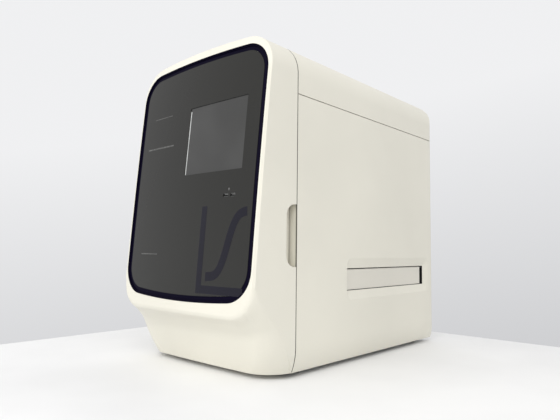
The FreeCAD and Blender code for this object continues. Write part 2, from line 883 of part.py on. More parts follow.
def top_cover():
    return shell_of_housing.common(block((-far, far), (-far, far), (lid_bottom, far)))


rear_inner_y = rear_y - wall
rear_panel_y = (rear_inner_y - sheet, rear_inner_y)
floor_low = foot_height + wall + seat
floor_top = floor_low + sheet
block_stack = block_top - block_height - tile_height - cooler_base


def mirrored_points(x, y):
    """The four places at plus and minus x and y round the middle of the plate arm."""
    return [(side_x * x, arm_center_y + side_y * y) for side_x in (-1, 1) for side_y in (-1, 1)]


def slab(half, low, high):
    """Upright box centred on the middle of the plate arm."""
    return block((-half[0], half[0]), (arm_center_y - half[1], arm_center_y + half[1]), (low, high))


def base_pan():
    """Folded floor sheet with an upturned rim front and rear."""
    front = bulkhead_y + bulkhead_flange + seat
    rear = rear_panel_y[0] - seat
    floor = block((-base_half_x, base_half_x), (front, rear), (floor_low, floor_top))
    rims = [block((-base_half_x + 10, base_half_x - 10), y, (floor_top, floor_top + 12))
            for y in ((front, front + sheet), (rear - sheet, rear))]
    return joined([floor] + rims)


def feet():
    pads = []
    for x in (-foot_x, foot_x):
        for y in (foot_front, foot_rear):
            pads.append(Part.makeCone(foot_radius, foot_radius - 2, floor_low, at(x, y, 0)))
    return Part.makeCompound(pads)


def rear_panel():
    """Rear sheet with its vents and the openings for the fans, the ports and the inlet."""
    plate = block((-rear_panel_half_x, rear_panel_half_x), rear_panel_y, (floor_top + seat, rear_panel_top))
    deep = (rear_panel_y[0] - 1, rear_panel_y[1] + 1)
    for x in (-fan_x, fan_x):
        plate = plate.cut(rod(at(x, deep[0], fan_z), Y, fan_bore, deep[1] - deep[0]))
    for x in vent_xs:
        for z in vent_rows:
            plate = plate.cut(block((x - vent_half[0], x + vent_half[0]), deep,
                                    (z - vent_half[1], z + vent_half[1])))
    for x, (width, height) in zip(port_xs, port_sizes):
        low = port_bottom()
        plate = plate.cut(block((x - width / 2 - running, x + width / 2 + running), deep,
                                (low - running, low + height + running)))
    margin = 2.0
    return plate.cut(block((inlet_x - inlet_half[0] + margin, inlet_x + inlet_half[0] - margin), deep,
                           (inlet_z - inlet_half[1] + margin, inlet_z + inlet_half[1] - margin)))


def port_bottom():
    return floor_top + board_lift + board_thickness


def front_bulkhead():
    """Front sheet of the frame with a flange round its edge and the opening to the working bay."""
    inset = wall + seat
    plate = housing_block(inset, bulkhead_y, bulkhead_y + bulkhead_flange)
    plate = plate.cut(housing_block(inset + sheet, bulkhead_y + sheet, rear_y))
    bay = rounded((-bay_half_width, bay_half_width), (bulkhead_y - 5, rear_y), (bay_low, bay_high), Y, 8)
    return plate.cut(bay)


def side_flap():
    """Plate door in the right side: a thin leaf under a round knuckle, with ribs at its other edges."""
    y0 = seam_y + flap_front
    y1 = seam_y + flap_rear
    outer_x = half_width - flap_recess
    leaf = block((outer_x - flap_shell, outer_x), (y0, y1), (flap_low, flap_axis_z))
    lip = block((outer_x - flap_thickness, outer_x), (y0, y1), (flap_low, flap_low + flap_shell))
    ends = [block((outer_x - flap_thickness, outer_x), y, (flap_low, flap_axis_z))
            for y in ((y0, y0 + flap_shell), (y1 - flap_shell, y1))]
    knuckle = rod(at(flap_axis_x, y0, flap_axis_z), Y, flap_thickness / 2, y1 - y0)
    leaf = joined([leaf, lip, knuckle] + ends)
    for y in (y0, y1 - flap_pin_depth):
        leaf = leaf.cut(rod(at(flap_axis_x, y, flap_axis_z), Y, flap_pin_radius, flap_pin_depth))
    return leaf


def flap_pins():
    reach = slot_frame_wall - 1
    front = (seam_y + slot_front - reach, seam_y + flap_front + flap_pin_depth)
    rear = (seam_y + flap_rear - flap_pin_depth, seam_y + slot_rear + reach)
    return Part.makeCompound([rod(at(flap_axis_x, low, flap_axis_z), Y, flap_pin_radius, high - low)
                              for low, high in (front, rear)])


def thermal_deck():
    """Bridge of folded sheet over the supply and the board."""
    span = (deck_front, deck_rear)
    top = block((-deck_half_x, deck_half_x), span, (deck_top - sheet, deck_top))
    legs = [block((min(x, x + turn), max(x, x + turn)), span, (floor_top, deck_top - sheet))
            for x, turn in ((-deck_half_x, sheet), (deck_half_x, -sheet))]
    return joined([top] + legs)


def power_supply():
    case = block(supply_x, supply_y, (floor_top, floor_top + supply_height))
    for index in range(supply_slots):
        x = supply_x[0] + 20 + index * supply_slot_pitch
        case = case.cut(block((x, x + supply_slot), (supply_y[0] + 20, supply_y[1] - 20),
                              (floor_top + supply_height - 3, floor_top + supply_height + 1)))
    return case


def main_board():
    low = floor_top + board_lift
    board = block(board_x, board_y, (low, low + board_thickness))
    legs = [rod(at(x, y, floor_top), Z, 3, board_lift)
            for x in (board_x[0] + 6, board_x[1] - 6) for y in (board_y[0] + 6, board_y[1] - 6)]
    chips = [block((x, x + 34), (y, y + 30), (low + board_thickness, low + board_thickness + 6))
             for x, y in chip_places]
    return joined([board] + legs + chips)


def rear_ports():
    """Metal sockets that stand on the board and reach through the rear sheet."""
    ports = []
    for x, (width, height) in zip(port_xs, port_sizes):
        low = port_bottom()
        shell = block((x - width / 2, x + width / 2), (board_y[1] - 22, rear_panel_y[1] + 1),
                      (low, low + height))
        hollow = block((x - width / 2 + 1, x + width / 2 - 1), (board_y[1] - 10, rear_panel_y[1] + 2),
                       (low + 1, low + height - 1))
        ports.append(shell.cut(hollow))
    return Part.makeCompound(ports)


def block_heat_sink():
    base = slab(cooler_half, block_stack, block_stack + cooler_base)
    step = (2 * cooler_half[0] - fin_thickness) / (fin_count - 1)
    fins = []
    for index in range(fin_count):
        x = -cooler_half[0] + index * step
        fins.append(block((x, x + fin_thickness),
                          (arm_center_y - cooler_half[1], arm_center_y + cooler_half[1]),
                          (deck_top, block_stack)))
    return joined([base] + fins)


def cooling_tiles():
    low = block_stack + cooler_base
    tiles = []
    for x, y in mirrored_points(tile_half + 1, tile_half + 10):
        tiles.append(block((x - tile_half, x + tile_half), (y - tile_half, y + tile_half),
                           (low, low + tile_height)))
    return Part.makeCompound(tiles)


def sample_block():
    """Block under the plate, with a flat recess for the sample carrier."""
    body = slab(block_half, block_top - block_height, block_top)
    recess = rounded((-block_half[0] + 5, block_half[0] - 5),
                     (arm_center_y - block_half[1] + 5, arm_center_y + block_half[1] - 5),
                     (block_top - block_recess, block_top + 1), Z, 4)
    return body.cut(recess)


def fan_frame(center, along_y, size, bore):
    """Square fan frame standing across Y, with a hub carried on three struts."""
    x, z = center
    frame = rounded((x - size / 2, x + size / 2), (along_y, along_y + fan_depth),
                    (z - size / 2, z + size / 2), Y, 5)
    frame = frame.cut(rod(at(x, along_y - 1, z), Y, bore, fan_depth + 2))
    hub = rod(at(x, along_y, z), Y, fan_hub, 3)
    pin = rod(at(x, along_y, z), Y, shaft_radius, fan_depth - 6)
    struts = []
    for index in range(3):
        strut = block((x, x + bore + 1), (along_y, along_y + 3), (z - 2, z + 2))
        strut.rotate(at(x, 0, z), Y, 120 * index + 30)
        struts.append(strut)
    return joined([frame, hub, pin] + struts)


def fan_rotor(center, along_y, bore):
    """Hub with slanting blades, turning on the frame's pin."""
    x, z = center
    front = along_y + 4.5
    length = fan_depth - 6
    hub = rod(at(x, front, z), Y, fan_hub, length)
    ring_of_blades = ring(at(x, front + 1, z), Y, bore - blade_gap, fan_hub - 1, length - 2)
    blades = []
    for index in range(fan_blades):
        blade = block((x + fan_hub - 2, x + bore), (front - length, front + 2 * length),
                      (z - blade_thickness / 2, z + blade_thickness / 2))
        blade.rotate(at(x, front + length / 2, z), X, fan_pitch)
        blade.rotate(at(x, 0, z), Y, 360.0 * index / fan_blades)
        blades.append(blade.common(ring_of_blades))
    whole = joined([hub] + blades)
    bore_depth = along_y + fan_depth - 6 + running - front
    return whole.cut(rod(at(x, front - 1, z), Y, shaft_radius + hinge_bore_gap, bore_depth + 1))


cooler_fan_y = arm_center_y - cooler_half[1] - 2 - fan_depth
cooler_fan_at = (0, deck_top + cooler_fan_size / 2)
exhaust_fan_y = rear_panel_y[0] - fan_depth


def sink_fan_frame():
    return fan_frame(cooler_fan_at, cooler_fan_y, cooler_fan_size, cooler_fan_bore)


def sink_fan_rotor():
    return fan_rotor(cooler_fan_at, cooler_fan_y, cooler_fan_bore)


def exhaust_fan_frames():
    return Part.makeCompound([fan_frame((x, fan_z), exhaust_fan_y, fan_size, fan_bore)
                              for x in (-fan_x, fan_x)])


def left_exhaust_rotor():
    return fan_rotor((-fan_x, fan_z), exhaust_fan_y, fan_bore)


def right_exhaust_rotor():
    return fan_rotor((fan_x, fan_z), exhaust_fan_y, fan_bore)


def fan_guards():
    guards = []
    y0 = rear_panel_y[1]
    for x in (-fan_x, fan_x):
        rings = [ring(at(x, y0, fan_z), Y, radius + guard_bar, radius, guard_bar) for radius in guard_radii]
        reach = fan_bore + 5
        bars = [block((x - reach, x + reach), (y0, y0 + guard_bar), (fan_z - 1, fan_z + 1)),
                block((x - 1, x + 1), (y0, y0 + guard_bar), (fan_z - reach, fan_z + reach))]
        guards.append(joined(rings + bars))
    return Part.makeCompound(guards)


def plate_arm():
    """Sliding arm: a plate with a tongue along each edge, a window under the nest and a lightened tail."""
    top = arm_bottom + arm_thickness
    plate = rounded((arm_left, arm_right), (arm_center_y - arm_half_width, arm_center_y + arm_half_width),
                    (arm_bottom, top), Z, arm_corner)
    low = arm_bottom + (arm_thickness - tongue_thickness) / 2
    tongues = block((arm_left + arm_corner, arm_right - arm_corner),
                    (arm_center_y - arm_half_width - tongue, arm_center_y + arm_half_width + tongue),
                    (low, low + tongue_thickness))
    window = slab((plate_half_x - nest_ledge, plate_half_y - nest_ledge), arm_bottom - 1, top + 1)
    tail = rounded((arm_left + 22, -nest_outer[0] - 22), (arm_center_y - 62, arm_center_y + 62),
                   (arm_bottom - 1, top + 1), Z, 12)
    return plate.fuse(tongues).removeSplitter().cut(window).cut(tail)


nest_outer = (plate_half_x + nest_gap + nest_wall, plate_half_y + nest_gap + nest_wall)


def plate_adapter():
    """Raised frame that holds the sample plate on the arm, with a finger gap at each long side."""
    low = arm_bottom + arm_thickness
    frame = rounded((-nest_outer[0], nest_outer[0]),
                    (arm_center_y - nest_outer[1], arm_center_y + nest_outer[1]),
                    (low, low + nest_height), Z, 8)
    frame = frame.cut(slab((plate_half_x + nest_gap, plate_half_y + nest_gap), low - 1, low + 20))
    for side in (-1, 1):
        gap_top = at(side * nest_outer[0], arm_center_y, low + nest_height + 10)
        frame = frame.cut(rod(gap_top, Z * -1, finger_gap_radius, finger_gap_radius - 1))
    return frame


def arm_rails():
    """Channel on legs for each edge of the arm."""
    rails = []
    inner = arm_half_width + running
    low = arm_bottom + (arm_thickness - tongue_thickness) / 2 - running
    for side in (-1, 1):
        ends = sorted((arm_center_y + side * inner, arm_center_y + side * (inner + rail_width)))
        groove = sorted((arm_center_y + side * (inner - 1),
                         arm_center_y + side * (inner + tongue + running)))
        rail = block((-rail_end, rail_end), ends, (rail_low, rail_high))
        rail = rail.cut(block((-rail_end - 1, rail_end + 1), groove,
                              (low, low + tongue_thickness + 2 * running)))
        legs = [block((x - 12, x + 12), ends, (deck_top, rail_low)) for x in (-rail_leg_x, rail_leg_x)]
        rails.append(joined([rail] + legs))
    return Part.makeCompound(rails)


pinion_radius = gear_module * pinion_teeth / 2
pinion_y = arm_center_y - rack_line + pinion_radius
rack_pitch = math.pi * gear_module


def arm_rack():
    """Straight rack under the arm, teeth towards the pinion, one gap centred on the pinion."""
    line_y = arm_center_y - rack_line
    back_y = arm_center_y - rack_back
    tip = gear_module
    root = 1.25 * gear_module
    half_at_line = rack_pitch / 4 - gear_play / 2
    slope = math.tan(pressure_angle)
    start = pinion_x - rack_pitch * (rack_teeth - 1.5)
    first = start - rack_pitch / 2
    points = [at(first, back_y, rack_low), at(first, line_y - root, rack_low)]
    for index in range(rack_teeth):
        middle = start + index * rack_pitch
        wide = half_at_line + root * slope
        narrow = half_at_line - tip * slope
        points += [at(middle - wide, line_y - root, rack_low), at(middle - narrow, line_y + tip, rack_low),
                   at(middle + narrow, line_y + tip, rack_low), at(middle + wide, line_y - root, rack_low)]
    end = start + (rack_teeth - 0.5) * rack_pitch
    points += [at(end, line_y - root, rack_low), at(end, back_y, rack_low)]
    return prism(points, Z * (arm_bottom - rack_low))


def involute_tooth(center_angle):
    """Points of one tooth, from its first root corner over its tip to its last."""
    base = pinion_radius * math.cos(pressure_angle)
    tip = pinion_radius + gear_module
    root = pinion_radius - 1.25 * gear_module
    inv = math.tan(pressure_angle) - pressure_angle
    half = math.pi / (2 * pinion_teeth) - gear_play / (2 * pinion_radius)
    flank = []
    steps = 5
    for index in range(steps + 1):
        radius = base + (tip - base) * index / steps
        turn = math.sqrt(max((radius / base) ** 2 - 1, 0))
        flank.append((radius, half + inv - (turn - math.atan(turn))))
    side = [(root, flank[0][1])] + flank
    polar = [(r, center_angle - a) for r, a in side] + [(r, center_angle + a) for r, a in reversed(side)]
    return [at(pinion_x + r * math.cos(a), pinion_y + r * math.sin(a), rack_low - 0.4) for r, a in polar]


def arm_pinion():
    """Toothed wheel on its shaft, one tooth pointing at the rack."""
    points = []
    for index in range(pinion_teeth):
        points += involute_tooth(-math.pi / 2 + 2 * math.pi * index / pinion_teeth)
    wheel = prism(points, Z * (arm_bottom - rack_low - running))
    shaft = rod(at(pinion_x, pinion_y, rack_low - 22), Z, shaft_radius, 22)
    return joined([wheel, shaft])


def arm_motor():
    """Gearmotor standing on the deck under the pinion."""
    half = motor_size / 2
    body = block((pinion_x - half, pinion_x + half), (pinion_y - half, pinion_y + half),
                 (deck_top, deck_top + motor_length))
    top = rack_low - 1.5
    gearbox = rod(at(pinion_x, pinion_y, deck_top + motor_length), Z, gearbox_radius,
                  top - deck_top - motor_length)
    bore = rod(at(pinion_x, pinion_y, rack_low - 24), Z, shaft_radius + hinge_bore_gap, 24)
    return joined([body, gearbox]).cut(bore)


def heated_cover():
    """Pressing plate over the samples, with reading slots and an ear for the screw."""
    top = cover_bottom + cover_thickness
    plate = slab(cover_half, cover_bottom, top)
    ear = block((screw_x - 12, -cover_half[0]), (arm_center_y - 14, arm_center_y + 14),
                (cover_bottom + 4, top))
    pad = slab((block_half[0] - 2, block_half[1] - 2), cover_bottom - 4, cover_bottom)
    plate = joined([plate, ear, pad])
    step = 2 * (block_half[0] - 6) / cover_slots
    for index in range(cover_slots):
        x = -block_half[0] + 6 + step * (index + 0.5)
        plate = plate.cut(block((x - 3, x + 3), (arm_center_y - 52, arm_center_y + 52),
                                (cover_bottom - 5, top + 1)))
    for x, y in mirrored_points(*guide_at):
        plate = plate.cut(rod(at(x, y, cover_bottom + 4), Z, guide_radius, cover_thickness))
    return plate.cut(rod(at(screw_x, arm_center_y, cover_bottom + 6), Z, screw_radius, cover_thickness))


def cover_guides():
    return Part.makeCompound([rod(at(x, y, cover_bottom + 4), Z, guide_radius, guide_length)
                              for x, y in mirrored_points(*guide_at)])


def cover_screw():
    return rod(at(screw_x, arm_center_y, cover_bottom + 6), Z, screw_radius, screw_length)


def cover_bridge():
    """Table over the cover: bores for its guides, an opening for the light, and four legs."""
    top = bridge_bottom + bridge_thickness
    plate = slab(bridge_half, bridge_bottom, top)
    light = slab((block_half[0] - 2, block_half[1] - 6), bridge_bottom - 1, top + 40)
    bosses = [rod(at(x, y, bridge_bottom - 8), Z, guide_radius + 4, 8)
              for x, y in mirrored_points(*guide_at)]
    legs = [block((x - 8, x + 8), (y - 5, y + 5), (deck_top, bridge_bottom))
            for x, y in mirrored_points(bridge_half[0] - 8, bridge_half[1] - 5)]
    plate = joined([plate] + bosses + legs)
    for x, y in mirrored_points(*guide_at):
        plate = plate.cut(rod(at(x, y, bridge_bottom - 10), Z, guide_radius + hinge_bore_gap, 20))
    screw = rod(at(screw_x, arm_center_y, bridge_bottom - 10), Z, screw_radius + running, 20)
    return plate.cut(light).cut(screw)


def step_motors():
    """Identical motors: one round the cover's screw and one behind each filter wheel."""
    half = motor_size / 2
    top = bridge_bottom + bridge_thickness
    cover = block((screw_x - half, screw_x + half), (arm_center_y - half, arm_center_y + half),
                  (top, top + motor_length))
    cover = cover.cut(rod(at(screw_x, arm_center_y, top - 1), Z, screw_radius + hinge_bore_gap,
                          motor_length + 2))
    wheel_y = arm_center_y + emission_circle
    low = shelf_height + tower_sheet
    emission = block((-half, half), (wheel_y - half, wheel_y + half), (low, low + motor_length))
    emission = emission.cut(rod(at(0, wheel_y, low - 1), Z, shaft_radius + hinge_bore_gap, 21))
    wheel_z = beam_height + exciter_circle
    face = -tower_half_x
    exciter = block((face - motor_length, face), (arm_center_y - half, arm_center_y + half),
                    (wheel_z - half, wheel_z + half))
    exciter = exciter.cut(rod(at(face - 20, arm_center_y, wheel_z), X, shaft_radius + hinge_bore_gap, 21))
    return Part.makeCompound([cover, emission, exciter])


def deck_posts():
    return Part.makeCompound([rod(at(x, y, deck_top), Z, post_radius, optics_height - deck_top)
                              for x, y in mirrored_points(*optics_post)])


def optics_deck():
    plate = block((-optics_half_x, optics_half_x), (deck_front, deck_rear),
                  (optics_height, optics_height + optics_sheet))
    light = slab((shroud_half[0] - shroud_wall, shroud_half[1] - shroud_wall), optics_height - 1,
                 optics_height + 10)
    return plate.cut(light)


shroud_low = optics_height + optics_sheet


def shroud_form(inset, extra):
    """Straight box that narrows above to the camera's mouth."""
    half_x = shroud_half[0] - inset
    half_y = shroud_half[1] - inset
    mouth = shroud_mouth - inset
    knee = shroud_low + shroud_straight
    outlines = []
    for x, y, z in ((half_x, half_y, knee), (mouth, mouth, shroud_low + shroud_height + extra)):
        outlines.append([at(-x, arm_center_y - y, z), at(x, arm_center_y - y, z),
                         at(x, arm_center_y + y, z), at(-x, arm_center_y + y, z)])
    return slab((half_x, half_y), shroud_low - extra, knee).fuse(flat_faced(*outlines))


def light_shroud():
    shroud = shroud_form(0, 0).cut(shroud_form(shroud_wall, 1))
    port = rod(at(-shroud_half[0] - 10, arm_center_y, beam_height), X, beam_radius, 20)
    return shroud.cut(port)


def optics_tower():
    """Bridge of thick sheet over the shroud that carries the wheels, the camera and two motors."""
    y = (arm_center_y - tower_half_y, arm_center_y + shelf_rear)
    low = shroud_low
    legs = [block(x, y, (low, shelf_height + tower_sheet))
            for x in ((-tower_half_x, -tower_half_x + tower_sheet),
                      (tower_half_x - tower_sheet, tower_half_x))]
    shelf = block((-tower_half_x, tower_half_x), y, (shelf_height, shelf_height + tower_sheet))
    tower = joined(legs + [shelf])
    tower = tower.cut(rod(at(0, arm_center_y, shelf_height - 1), Z, camera_lens_radius + 1, 10))
    tower = tower.cut(rod(at(0, arm_center_y + emission_circle, shelf_height - 1), Z, shaft_radius + 1, 10))
    beam = rod(at(-tower_half_x - 1, arm_center_y, beam_height), X, beam_radius, 10)
    shaft = rod(at(-tower_half_x - 1, arm_center_y, beam_height + exciter_circle), X, shaft_radius + 1, 10)
    return tower.cut(beam).cut(shaft)


def camera_body():
    """Camera standing on the shelf, its lens barrel through the shelf."""
    low = shelf_height + tower_sheet
    body = rounded((-camera_half, camera_half), (arm_center_y - camera_half, arm_center_y + camera_half),
                   (low, low + camera_length), Z, 4)
    barrel = rod(at(0, arm_center_y, low - camera_lens_length), Z, camera_lens_radius, camera_lens_length)
    return joined([body, barrel])


def filter_wheel(center, along, radius, circle):
    """Disc with a hub, holes for the filters and a shaft towards its motor."""
    wheel = rod(center, along, radius, wheel_thickness)
    hub = rod(center, along, wheel_hub, wheel_thickness + 4)
    wheel = joined([wheel, hub])
    across = X if abs(along.x) < 0.5 else Z * -1
    for index in range(filter_count):
        start = center + across * circle - along
        hole = rod(start, along, filter_radius, wheel_thickness + 2)
        hole.rotate(center, along, 360.0 * index / filter_count + first_filter_turn(along))
        wheel = wheel.cut(hole)
    return wheel


def first_filter_turn(along):
    """Turn that puts one filter in the light path at rest."""
    return -90.0 if abs(along.x) < 0.5 else 0.0


def wheel_filters(center, along, circle):
    discs = []
    across = X if abs(along.x) < 0.5 else Z * -1
    for index in range(filter_count):
        disc = rod(center + across * circle + along * 0.5, along, filter_radius - 0.05, wheel_thickness - 1)
        disc.rotate(center, along, 360.0 * index / filter_count + first_filter_turn(along))
        discs.append(disc)
    return Part.makeCompound(discs)


emission_center = at(0, arm_center_y + emission_circle, emission_height)
exciter_center = at(exciter_x, arm_center_y, beam_height + exciter_circle)


def emission_wheel():
    wheel = filter_wheel(emission_center, Z, emission_wheel_radius, emission_circle)
    shaft = rod(emission_center, Z, shaft_radius, shelf_height + tower_sheet + 18 - emission_height)
    return joined([wheel, shaft])


def excitation_wheel():
    wheel = filter_wheel(exciter_center, X * -1, exciter_wheel_radius, exciter_circle)
    shaft = rod(exciter_center, X * -1, shaft_radius, tower_half_x + 18 + exciter_x)
    return joined([wheel, shaft])


def emission_filters():
    return wheel_filters(emission_center, Z, emission_circle)


def excitation_filters():
    return wheel_filters(exciter_center, X * -1, exciter_circle)


def lamp_housing():
    """Finned light source on the optics deck, its snout on the tower's leg."""
    y = (arm_center_y - lamp_half_y, arm_center_y + lamp_half_y)
    near = -tower_half_x - 8
    box = block((lamp_x_far, near), y, (shroud_low, lamp_top))
    for index in range(lamp_grooves):
        x = lamp_x_far + lamp_groove_pitch * (index + 1) - 1
        box = box.cut(block((x, x + lamp_groove), (y[0] - 1, y[1] + 1), (lamp_top - lamp_fin, lamp_top + 1)))
    snout = rod(at(near, arm_center_y, beam_height), X, beam_radius + 2, -tower_half_x - near)
    bore = rod(at(near - 30, arm_center_y, beam_height), X, beam_radius - 2, 60)
    return joined([box, snout]).cut(bore)


def power_inlet():
    """Mains inlet with the opening for its switch, set in the rear sheet."""
    margin = 2.3
    y0 = rear_panel_y[1]
    rim = rounded((inlet_x - inlet_half[0], inlet_x + inlet_half[0]), (y0, y0 + 2.4),
                  (inlet_z - inlet_half[1], inlet_z + inlet_half[1]), Y, 2)
    body = block((inlet_x - inlet_half[0] + margin, inlet_x + inlet_half[0] - margin), (y0 - 26, y0),
                 (inlet_z - inlet_half[1] + margin, inlet_z + inlet_half[1] - margin))
    whole = joined([rim, body])
    socket_x = (inlet_x - inlet_half[0] + 6, inlet_x + 6)
    whole = whole.cut(rounded(socket_x, (y0 - inlet_depth, y0 + 5),
                              (inlet_z - inlet_mouth, inlet_z + inlet_mouth), Y, 4))
    middle = (socket_x[0] + socket_x[1]) / 2
    pins = [block((middle + dx - 1, middle + dx + 1), (y0 - inlet_depth, y0 - 4),
                  (inlet_z + dz - 2, inlet_z + dz + 2)) for dx, dz in inlet_pins]
    whole = joined([whole] + pins)
    return whole.cut(block((rocker_x - rocker_half[0] - 0.5, rocker_x + rocker_half[0] + 0.5),
                           (y0 - 12, y0 + 5),
                           (inlet_z - rocker_half[1] - 1, inlet_z + rocker_half[1] + 1)))


def rocker_switch():
    """Rocker at rest: lower face level with the rim, upper face standing out."""
    x = rocker_x - rocker_half[0]
    face = rear_panel_y[1] + 0.4
    rise = math.tan(math.radians(2 * rocker_tilt)) * rocker_half[1]
    high = inlet_z + rocker_half[1]
    low = inlet_z - rocker_half[1]
    points = [at(x, face, inlet_z), at(x, face + rise, high), at(x, face - 2, high - 0.5),
              at(x, face - rocker_depth, inlet_z + 5), at(x, face - rocker_depth, inlet_z - 5),
              at(x, face - 3, low + 0.5), at(x, face, low)]
    return prism(points, X * (2 * rocker_half[0]))


def panel_screws():
    heads = []
    for side in (-1, 1):
        for z in screw_heights:
            heads.append(rod(at(side * (half_width - rear_frame - screw_inset), rear_panel_y[1], z), Y,
                             screw_head_radius, screw_head_height))
    return Part.makeCompound(heads)


parts = {
    "door_shell": door_shell,
    "lens_rim": lens_rim,
    "lens_panel": lens_panel,
    "touchscreen": touchscreen,
    "screen_frame": screen_frame,
    "usb_sockets": usb_sockets,
    "socket_board": socket_board,
    "status_lamp": status_lamp,
    "door_liner": door_liner,
    "catch_magnets": catch_magnets,
    "catch_strikers": catch_strikers,
    "hinge_arms": hinge_arms,
    "hinge_pins": hinge_pins,
    "left_side_panel": left_side_panel,
    "right_side_panel": right_side_panel,
    "top_cover": top_cover,
    "base_pan": base_pan,
    "feet": feet,
    "rear_panel": rear_panel,
    "front_bulkhead": front_bulkhead,
    "side_flap": side_flap,
    "flap_pins": flap_pins,
    "thermal_deck": thermal_deck,
    "power_supply": power_supply,
    "main_board": main_board,
    "rear_ports": rear_ports,
    "block_heat_sink": block_heat_sink,
    "cooling_tiles": cooling_tiles,
    "sample_block": sample_block,
    "sink_fan_frame": sink_fan_frame,
    "sink_fan_rotor": sink_fan_rotor,
    "exhaust_fan_frames": exhaust_fan_frames,
    "left_exhaust_rotor": left_exhaust_rotor,
    "right_exhaust_rotor": right_exhaust_rotor,
    "fan_guards": fan_guards,
    "plate_arm": plate_arm,
    "plate_adapter": plate_adapter,
    "arm_rails": arm_rails,
    "arm_rack": arm_rack,
    "arm_pinion": arm_pinion,
    "arm_motor": arm_motor,
    "heated_cover": heated_cover,
    "cover_guides": cover_guides,
    "cover_screw": cover_screw,
    "cover_bridge": cover_bridge,
    "step_motors": step_motors,
    "deck_posts": deck_posts,
    "optics_deck": optics_deck,
    "light_shroud": light_shroud,
    "optics_tower": optics_tower,
    "camera_body": camera_body,
    "emission_wheel": emission_wheel,
    "excitation_wheel": excitation_wheel,
    "emission_filters": emission_filters,
    "excitation_filters": excitation_filters,
    "lamp_housing": lamp_housing,
    "power_inlet": power_inlet,
    "rocker_switch": rocker_switch,
    "panel_screws": panel_screws,
}

os.makedirs("parts", exist_ok=True)
for name, make in parts.items():
    make().exportStep("parts/" + name + ".step")
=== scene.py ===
import bpy
import bmesh
import json
import math
from mathutils import Matrix, Vector
from mathutils.bvhtree import BVHTree


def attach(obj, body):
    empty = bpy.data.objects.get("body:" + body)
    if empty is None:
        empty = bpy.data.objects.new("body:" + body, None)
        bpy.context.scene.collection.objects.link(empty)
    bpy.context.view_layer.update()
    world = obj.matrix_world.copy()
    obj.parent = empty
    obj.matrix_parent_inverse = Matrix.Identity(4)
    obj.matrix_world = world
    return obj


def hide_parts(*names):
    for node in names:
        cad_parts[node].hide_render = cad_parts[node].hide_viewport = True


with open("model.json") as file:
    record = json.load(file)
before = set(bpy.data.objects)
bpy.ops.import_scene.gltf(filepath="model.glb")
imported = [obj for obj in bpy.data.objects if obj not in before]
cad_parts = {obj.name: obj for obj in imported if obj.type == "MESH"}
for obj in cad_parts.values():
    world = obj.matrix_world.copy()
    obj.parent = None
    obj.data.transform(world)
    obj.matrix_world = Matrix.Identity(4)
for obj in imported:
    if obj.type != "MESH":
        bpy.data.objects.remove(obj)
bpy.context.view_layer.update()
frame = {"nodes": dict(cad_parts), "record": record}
nodes = frame["nodes"]
scene = bpy.context.scene
scene.view_settings.view_transform = "Standard"
scene.view_settings.look = "None"

# Shape of the front, as in the part's source, in metres
HALF_WIDTH = 0.2305
HALF_DEPTH = 0.3945
BODY_HEIGHT = 0.740
SEAM_Y = -0.2555
LIP_HEIGHT = 0.136
LEAN = 0.0901
BOW = 15.0
BULGE = 4.046
GLASS_RECESS = 0.003


def front_y(x, z, depth):
    """Front face at a place, or the layer that deep below it."""
    rise = BODY_HEIGHT - LIP_HEIGHT
    run = rise * LEAN
    chord = math.hypot(rise, run)
    sag = math.sqrt(BOW ** 2 - (chord / 2) ** 2)
    center_y = -HALF_DEPTH + run / 2 + sag * rise / chord
    center_z = LIP_HEIGHT + rise / 2 - sag * run / chord
    middle = center_y - math.sqrt((BOW - depth) ** 2 - (z - center_z) ** 2)
    axis_y = BULGE - HALF_DEPTH
    return axis_y - math.sqrt((axis_y - middle) ** 2 - x ** 2)


# Camera, as fitted to the photograph: place in metres, lens and sensor in millimetres
CAMERA_PLACE = (0.9371, -1.0917, 0.2730)
CAMERA_AZIMUTH = math.radians(42.10)
CAMERA_PITCH = math.radians(4.352)
CAMERA_ROLL = math.radians(0.668)
CAMERA_LENS = 32.855
SENSOR_WIDTH = 36.0


def add_camera():
    data = bpy.data.cameras.new("camera")
    data.sensor_width = SENSOR_WIDTH
    data.lens = CAMERA_LENS
    camera = bpy.data.objects.new("camera", data)
    scene.collection.objects.link(camera)
    scene.camera = camera
    level = math.cos(CAMERA_PITCH)
    ahead = Vector((
        -math.sin(CAMERA_AZIMUTH) * level,
        math.cos(CAMERA_AZIMUTH) * level,
        math.sin(CAMERA_PITCH)))
    level_right = Vector((math.cos(CAMERA_AZIMUTH), math.sin(CAMERA_AZIMUTH), 0))
    level_up = level_right.cross(ahead)
    right = level_right * math.cos(CAMERA_ROLL) + level_up * math.sin(CAMERA_ROLL)
    up = level_up * math.cos(CAMERA_ROLL) - level_right * math.sin(CAMERA_ROLL)
    rows = [(right[i], up[i], -ahead[i], CAMERA_PLACE[i]) for i in range(3)]
    camera.matrix_world = Matrix((*rows, (0, 0, 0, 1)))


add_camera()


# Materials
COAT_ROUGHNESS = 0.05
# Places of the mix node's sockets for colours
MIX_FIRST = 6
MIX_SECOND = 7
MIX_RESULT = 2


